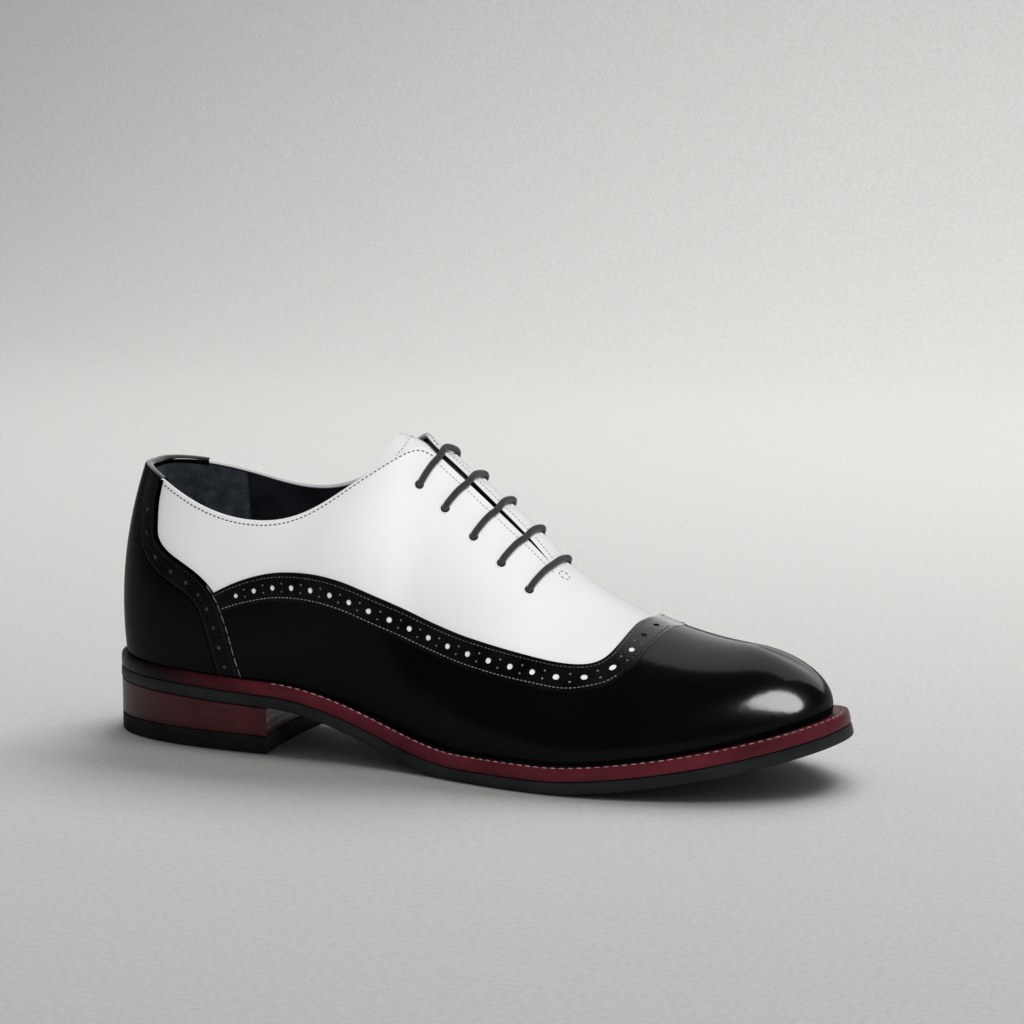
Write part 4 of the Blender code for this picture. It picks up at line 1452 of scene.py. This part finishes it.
for side_name, mirrored in SIDES:
    strip = counter_strip(mirrored)
    large, small = hole_row(
        strip,
        COUNTER_HOLE_LINE,
        COUNTER_HOLE_PITCH,
        COUNTER_HOLE_RADIUS,
        PINHOLE_RADIUS,
        COUNTER_PINHOLE_SPLIT,
        COUNTER_HOLE_ENDS,
        COUNTER_HOLE_ENDS,
    )
    depth = COUNTER_BAND_LIFT - COUNTER_LIFT
    punched_strip(f"counter_band_{side_name}", strip, large + small, depth, band_leather, "patent_counter")
    hole_floor(f"counter_hole_floors_{side_name}", strip, large, 0.5 * depth, dark_floor, "patent_counter")
    for row_name, q in COUNTER_ROWS:
        line = strip.at(np.linspace(0.01, 0.985, 500), q)
        stitches(f"counter_{row_name}_stitches_{side_name}", *line, 1.6, 1.2, 0.36, sewing_black, sink=0.15)
    # The painted highlight along the counter's front edge, laid as one unbroken strand.
    edge_highlight_line = strip.at(np.linspace(0.0, EDGE_HIGHLIGHT_END, 300), -0.03, -0.45)
    stitches(f"counter_cut_edge_{side_name}", *edge_highlight_line, 4.0, 4.05, 0.55, painted_edge_highlight, sink=0.0)

# Tongue
# A flap of leather sewn in under the throat, faced in white calf at its free end, which is edged with a row
# of stitches. Where it lies under the slit it is given the dark lining leather, as painted shade in the slit.
TONGUE_UNDER = (
    # along, half width
    (0.655, 15.0),
    (0.630, 17.0),
    (0.590, 18.5),
    (0.550, 19.5),
    (0.510, 20.0),
    (0.476, 20.0),
)
TONGUE_FREE = (
    # back, up, lateral width, medial width
    (5.0, 3.5, 20.0, 18.5),
    (10.0, 6.0, 20.0, 16.0),
    (14.5, 7.7, 19.5, 13.5),
    (17.5, 8.5, 18.5, 11.0),
    (19.0, 8.7, 16.5, 8.0),
)
TONGUE_SLANT = 0.48
TONGUE = 1.8
TONGUE_CLEARANCE = 0.7
FREE_START = 24
TONGUE_ROW = -3


def tongue_section(along, lateral_width, medial_width, depth, slant=0.0, count=12):
    """A line across the tongue, this deep under the upper's outer face, edge to edge."""
    reach = np.linspace(1, 0.12, count)
    turn = np.full(count, turn_of(along))
    near = on_leather(turn, share_below_top(turn, reach * lateral_width), -depth)[0]
    far = on_leather(2 - turn, share_below_top(2 - turn, reach * medial_width), -depth)[0]
    near[:, 0] -= slant * reach * lateral_width
    return np.concatenate([near, far[::-1]])


def smooth_path(knots, line, at):
    """A smooth path through points that lie at these knots."""
    return np.stack([smooth_curve(knots, line[:, c])(at) for c in range(3)], -1)


def tongue_grid(depth, middle=12, rows=40):
    """The tongue's face at this depth, from its root under the throat to its free end."""
    root = TONGUE_UNDER[-1][0]
    sections = [tongue_section(along, width, width, depth) for along, width in TONGUE_UNDER]
    for back, up, lateral, medial in TONGUE_FREE:
        slant = TONGUE_SLANT * back / TONGUE_FREE[-1][0]
        sections.append(tongue_section(root, lateral, medial, depth, slant) + np.array([-back, 0.0, up]))
    grid = np.array(sections)
    knots = run_along(grid[:, middle])
    finer = np.linspace(0, knots[-1], rows)
    return np.stack([smooth_path(knots, line, finer) for line in grid.swapaxes(0, 1)], 1)


def slab(outer, inner):
    """A closed plate from two matching grids of points, one on each face."""
    columns, rows = outer.shape[:2]
    under = columns * rows
    faces = []
    for i in range(columns - 1):
        for j in range(rows - 1):
            a = i * rows + j
            quad = (a, a + rows, a + rows + 1, a + 1)
            faces += [quad[::-1], tuple(v + under for v in quad)]
    ring = [i * rows for i in range(columns)]
    ring += [(columns - 1) * rows + j for j in range(1, rows)]
    ring += [i * rows + rows - 1 for i in range(columns - 2, -1, -1)]
    ring += [j for j in range(rows - 2, 0, -1)]
    faces += [(a, b, b + under, a + under) for a, b in zip(ring, ring[1:] + ring[:1])]
    return np.concatenate([outer.reshape(-1, 3), inner.reshape(-1, 3)]), faces


tongue_top = tongue_grid(WALL + TONGUE_CLEARANCE)
tongue_under = tongue_grid(WALL + TONGUE_CLEARANCE + TONGUE)
root_slab = slab(tongue_top[: FREE_START + 1], tongue_under[: FREE_START + 1])
free_slab = slab(tongue_top[FREE_START:], tongue_under[FREE_START:])
# The root is seen only through the slit. It is painted as the slit's shade, in the dark lining leather.
add_piece("tongue_root", *root_slab, lining_and_slit_shade, slot="insole")
add_piece("tongue_end", *free_slab, white, ["tongue"], "tongue_leather")
tongue_row = tongue_top[TONGUE_ROW]
tongue_along, tongue_across = np.gradient(tongue_top, axis=0)[TONGUE_ROW], np.gradient(tongue_row, axis=0)
tongue_out = unit(np.cross(tongue_across, tongue_along))
tongue_out *= np.sign(tongue_out[:, 2:])
stitches("tongue_stitches", tongue_row, tongue_out, 1.7, 1.1, 0.35, grey_thread, sink=0.1)

# Laces
# Round waxed braid of charcoal cotton, one bar over the slit for each pair of eyelets. Its ends go down
# through punched eyelets with a pressed rim.
LACE_COUNT = 5
LACE_FIRST = 0.469
LACE_LAST = 0.626
EYELET_BACK_LATERAL = 0.014
EYELET_AHEAD_MEDIAL = 0.012
EYELET_REACH_FIRST = 15.0
EYELET_REACH_LAST = 18.4
EYELET_REACH_MEDIAL = 11.0
EYELET_RADIUS = 2.0
RIM_WIDTH = 0.3
RIM_HEIGHT = 0.28
LACE_RADIUS = 1.32
LACE_SIDES = 14
LACE_LIFT = 1.75


def lace_line(along, reach):
    """The lace's middle line: up out of the lateral eyelet, over the slit and down into the medial one."""
    near = np.array([1.05, 1.0, 0.93, 0.75, 0.5, 0.25, 0.08])
    near_lift = np.array([-2.2, 0.2, 1.5] + 4 * [LACE_LIFT])
    far = np.array([0.1, 0.4, 0.7, 0.9, 1.0, 1.06])
    far_lift = np.array([1.0, 1.0, 1.0, 0.86, 0.1, -1.3]) * LACE_LIFT
    lateral = turn_of(along - EYELET_BACK_LATERAL * near)
    medial = 2 - turn_of(along + EYELET_AHEAD_MEDIAL * far)
    near_side = on_leather(lateral, share_below_top(lateral, reach * near), near_lift)[0]
    far_side = on_leather(medial, share_below_top(medial, EYELET_REACH_MEDIAL * far), far_lift)[0]
    return np.concatenate([near_side, far_side])


def tube(line, radius, sides, count=90):
    """A round tube along a smooth line, with the length run at each of its rings."""
    knots = run_along(line)
    run = np.linspace(0, knots[-1], count)
    path = smooth_path(knots, line, run)
    ahead = unit(np.gradient(path, axis=0))
    side = np.zeros_like(path)
    side[0] = unit(np.cross(ahead[0], [0.0, 0.0, 1.0]))
    for k in range(1, count):
        side[k] = unit(side[k - 1] - np.dot(side[k - 1], ahead[k]) * ahead[k])
    up = np.cross(ahead, side)
    angle = round_angles(sides)
    points = (
        path[:, None]
        + radius * np.cos(angle)[None, :, None] * side[:, None]
        + radius * np.sin(angle)[None, :, None] * up[:, None]
    )
    return points.reshape(-1, 3), capped_faces(count, sides), run


def lace_finish():
    """Waxed braid: two sets of slanting strands that cross, from the lace's own map of length and turns. The
    strands' tops are painted lighter, as highlights.
    """
    look = surface_finish(
        "charcoal waxed lace", (0.008, 0.009, 0.011), (0.020, 0.022, 0.026), 500, (0.25, 0.4), 4000, 0.05
    )
    tree = look.node_tree
    shader = tree.nodes["Principled BSDF"]
    braid_map = tree.nodes.new("ShaderNodeUVMap")
    braid_map.uv_map = "braid"
    strands = []
    for slant in (1, -1):
        turned = tree.nodes.new("ShaderNodeMapping")
        turned.inputs["Rotation"].default_value = (0, 0, slant * math.radians(35))
        wave = tree.nodes.new("ShaderNodeTexWave")
        wave.inputs["Scale"].default_value = 0.42
        tree.links.new(braid_map.outputs["UV"], turned.inputs["Vector"])
        tree.links.new(turned.outputs["Vector"], wave.inputs["Vector"])
        strands.append(wave)
    cross = tree.nodes.new("ShaderNodeMath")
    cross.operation = "MAXIMUM"
    for k, wave in enumerate(strands):
        tree.links.new(wave.outputs["Fac"], cross.inputs[k])
    # The tops of the strands are painted a lighter grey as their highlights.
    painted_strand_highlight = tree.nodes.new("ShaderNodeMix")
    painted_strand_highlight.data_type = "RGBA"
    painted_strand_highlight.inputs["B"].default_value = (0.085, 0.09, 0.10, 1)
    shine = tree.nodes.new("ShaderNodeMapRange")
    shine.inputs["From Min"].default_value = 0.75
    shine.inputs["To Max"].default_value = 0.8
    tree.links.new(cross.outputs["Value"], shine.inputs["Value"])
    tree.links.new(shine.outputs["Result"], painted_strand_highlight.inputs["Factor"])
    tree.links.new(shader.inputs["Base Color"].links[0].from_socket, painted_strand_highlight.inputs["A"])
    tree.links.new(painted_strand_highlight.outputs["Result"], shader.inputs["Base Color"])
    braid = tree.nodes.new("ShaderNodeBump")
    braid.inputs["Distance"].default_value = 0.3 * MM
    tree.links.new(cross.outputs["Value"], braid.inputs["Height"])
    tree.links.new(tree.nodes["Bump"].outputs["Normal"], braid.inputs["Normal"])
    tree.links.new(braid.outputs["Normal"], shader.inputs["Normal"])
    return look


lace = lace_finish()
# The eyelets' mouths are discs of painted shade.
eyelet_mouth_shade = underlay("eyelet shadow", (0.006, 0.006, 0.007), (0.012, 0.012, 0.013), (0.6, 0.8))


def eyelet(name, turn, share, around_count=24, rim_count=8):
    """A disc painted as the shade in an eyelet's mouth, and the eyelet's pressed rim."""
    centre, normal, climb = leather_frame(turn, float(rise_at(turn, share)))
    side = np.cross(normal, climb)
    angle = round_angles(around_count)
    around = np.cos(angle)[:, None] * climb + np.sin(angle)[:, None] * side
    mouth = centre + 0.07 * normal + (EYELET_RADIUS - 0.05) * around
    add_piece(f"{name}_mouth", mouth, [tuple(range(around_count))[::-1]], eyelet_mouth_shade)
    rows = []
    for lean in round_angles(rim_count):
        out, up = RIM_WIDTH * math.cos(lean), RIM_HEIGHT * math.sin(lean)
        rows.append(centre + (EYELET_RADIUS + out) * around + up * normal)
    count = around_count * rim_count
    faces = [tuple(v % count for v in face) for face in ring_faces(rim_count + 1, around_count)]
    add_piece(f"{name}_rim", np.concatenate(rows), faces, white)


crossings = np.linspace(LACE_FIRST, LACE_LAST, LACE_COUNT)
reaches = np.linspace(EYELET_REACH_FIRST, EYELET_REACH_LAST, LACE_COUNT)
for number, (along, reach) in enumerate(zip(crossings, reaches), start=1):
    points, faces, run = tube(lace_line(along, reach), LACE_RADIUS, LACE_SIDES)
    bar = add_piece(f"lace_{number}", points, faces, lace, [f"lace_bar_{number}"], "lace", sharp=80.0)
    uv = bar.data.uv_layers.new(name="braid")
    for polygon in bar.data.polygons:
        first = min(v % LACE_SIDES for v in polygon.vertices)
        for loop in polygon.loop_indices:
            v = bar.data.loops[loop].vertex_index
            round_it = v % LACE_SIDES
            if first == 0 and round_it == LACE_SIDES - 1 and len(polygon.vertices) == 4:
                round_it = -1
            uv.data[loop].uv = (run[v // LACE_SIDES], round_it / LACE_SIDES * 2 * math.pi * LACE_RADIUS)
    lateral = float(turn_of(along - EYELET_BACK_LATERAL))
    eyelet(f"eyelet_lateral_{number}", lateral, float(share_below_top(lateral, reach)))
    medial = 2 - float(turn_of(along + EYELET_AHEAD_MEDIAL))
    eyelet(f"eyelet_medial_{number}", medial, float(share_below_top(medial, EYELET_REACH_MEDIAL)))

# Stage
# A pale concrete floor that sweeps up into a wall behind the shoe.
FLOOR_DEPTH = 1.5
FLOOR_FRONT = -3.0
FLOOR_SIDE = 4.0
SWEEP = 0.5
WALL_HEIGHT = 2.2
profile = [(FLOOR_FRONT, 0.0), (FLOOR_DEPTH - SWEEP, 0.0)]
for angle in np.linspace(0, math.pi / 2, 16)[1:]:
    profile.append((FLOOR_DEPTH - SWEEP + SWEEP * math.sin(angle), SWEEP * (1 - math.cos(angle))))
profile.append((FLOOR_DEPTH, WALL_HEIGHT))
stage_points, stage_faces = [], []
for x in (-FLOOR_SIDE, FLOOR_SIDE):
    stage_points += [(x, y, z) for y, z in profile]
for k in range(len(profile) - 1):
    stage_faces.append((k, k + len(profile), k + 1 + len(profile), k + 1))
stage_mesh = bpy.data.meshes.new("floor_and_wall")
stage_mesh.from_pydata(stage_points, [], stage_faces)
stage_mesh.shade_smooth()
concrete = surface_finish(
    "pale concrete", (0.58, 0.575, 0.56), (0.66, 0.655, 0.64), 420, (0.75, 0.9), 420, 0.03
)
stage_mesh.materials.append(concrete)
floor = bpy.data.objects.new("floor_and_wall", stage_mesh)
bpy.context.scene.collection.objects.link(floor)

# Camera
# It stands in front of the outer side, a little to the toe and above, as the photograph was taken.
AZIMUTH = 21.54
ELEVATION = 9.71
DISTANCE = 1227.0
FOCAL_PIXELS = 3155.2
ANCHOR = np.array([151.0, 0.0, 45.0])
ANCHOR_PIXEL = (473.59, 637.69)
IMAGE = 1024
SENSOR = 36.0
azimuth, elevation = math.radians(AZIMUTH), math.radians(ELEVATION)
right = np.array([math.cos(azimuth), math.sin(azimuth), 0.0])
ahead = np.array(
    [-math.sin(azimuth) * math.cos(elevation), math.cos(azimuth) * math.cos(elevation), -math.sin(elevation)]
)
above = np.cross(right, ahead)
aside = (ANCHOR_PIXEL[0] - IMAGE / 2) / FOCAL_PIXELS * DISTANCE
below = (ANCHOR_PIXEL[1] - IMAGE / 2) / FOCAL_PIXELS * DISTANCE
stand = (ANCHOR - DISTANCE * ahead - aside * right + below * above - ORIGIN) * MM
camera = bpy.data.cameras.new("camera")
camera.sensor_width = SENSOR
camera.lens = FOCAL_PIXELS / IMAGE * SENSOR
camera_object = bpy.data.objects.new("camera", camera)
bpy.context.scene.collection.objects.link(camera_object)


def standing(side, over, back, place):
    """The world matrix of something that looks away from its back."""
    return Matrix([[side[k], over[k], back[k], place[k]] for k in range(3)] + [[0, 0, 0, 1]])


camera_object.matrix_world = standing(right, above, -ahead, stand)
bpy.context.scene.camera = camera_object

# Light
# A pale studio, brighter behind than in front. A broad lamp over the toe lights the shoe, one from behind the
# floor, and one the wall. Two softboxes shine on the patent alone: a leaning one for the glint on the toe and
# a wide one behind for the sheen along the crest.
LAMPS = (
    # name, place, aim, roll, width, height, watts, shape
    ("key", (1.1, -1.32, 1.36), (0.0, 0.0, 0.05), 0.0, 1.4, 0.7, 45.0, "RECTANGLE"),
    ("overhead", (0.1, 1.1, 1.5), (0.0, 0.0, 0.0), 0.0, 1.4, 0.8, 24.0, "RECTANGLE"),
    ("wall_wash", (0.0, 0.2, 2.2), (0.0, 1.5, 0.6), 0.0, 2.4, 0.6, 18.0, "RECTANGLE"),
    ("toe_softbox", (1.137, -0.361, 0.603), (0.206, 0.033, -0.045), -51.5, 1.36, 0.6, 140.0, "ELLIPSE"),
    ("crest_softbox", (0.05, 0.85, 0.9), (0.09, 0.0, 0.05), 0.0, 2.2, 2.1, 60.0, "RECTANGLE"),
)
ONLY_ON = {
    "key": [piece.name for piece in bpy.context.scene.objects if piece.type == "MESH" and piece != floor],
    "toe_softbox": ["wing_patent", "counter_patent"],
    "crest_softbox": ["wing_patent", "counter_patent", "wing_band_lateral", "wing_band_medial"],
    "overhead": ["floor_and_wall"],
    "wall_wash": ["floor_and_wall"],
}
WORLD_FRONT = 0.10
WORLD_BACK = 0.34
for name, place, aim, roll, width, height, watts, shape in LAMPS:
    lamp = bpy.data.lights.new(name, "AREA")
    lamp.shape = shape
    lamp.size = width
    lamp.size_y = height
    lamp.energy = watts
    lamp_object = bpy.data.objects.new(name, lamp)
    lamp_object.visible_camera = False
    bpy.context.scene.collection.objects.link(lamp_object)
    lit = bpy.data.collections.new(f"lit by {name}")
    for piece_name in ONLY_ON[name]:
        lit.objects.link(bpy.data.objects[piece_name])
    lamp_object.light_linking.receiver_collection = lit
    if name.endswith("softbox"):
        lamp_object.visible_diffuse = False
    else:
        lamp_object.visible_glossy = False
    back = unit(np.array(place) - np.array(aim))
    level_side = unit(np.cross([0.0, 0.0, 1.0], back))
    level_over = np.cross(back, level_side)
    lean = math.radians(roll)
    across = math.cos(lean) * level_side + math.sin(lean) * level_over
    lamp_object.matrix_world = standing(across, np.cross(back, across), back, place)
world = bpy.data.worlds.new("studio")
world.use_nodes = True
sky = world.node_tree
background = sky.nodes["Background"]
background.inputs["Color"].default_value = (0.97, 0.985, 1.0, 1)
look_out = sky.nodes.new("ShaderNodeTexCoord")
split = sky.nodes.new("ShaderNodeSeparateXYZ")
fade = sky.nodes.new("ShaderNodeMapRange")
fade.interpolation_type = "SMOOTHSTEP"
fade.inputs["From Min"].default_value = -0.6
fade.inputs["From Max"].default_value = 0.4
fade.inputs["To Min"].default_value = WORLD_FRONT
fade.inputs["To Max"].default_value = WORLD_BACK
sky.links.new(look_out.outputs["Generated"], split.inputs["Vector"])
sky.links.new(split.outputs["Y"], fade.inputs["Value"])
sky.links.new(fade.outputs["Result"], background.inputs["Strength"])
bpy.context.scene.world = world
bpy.context.scene.view_settings.view_transform = "Standard"
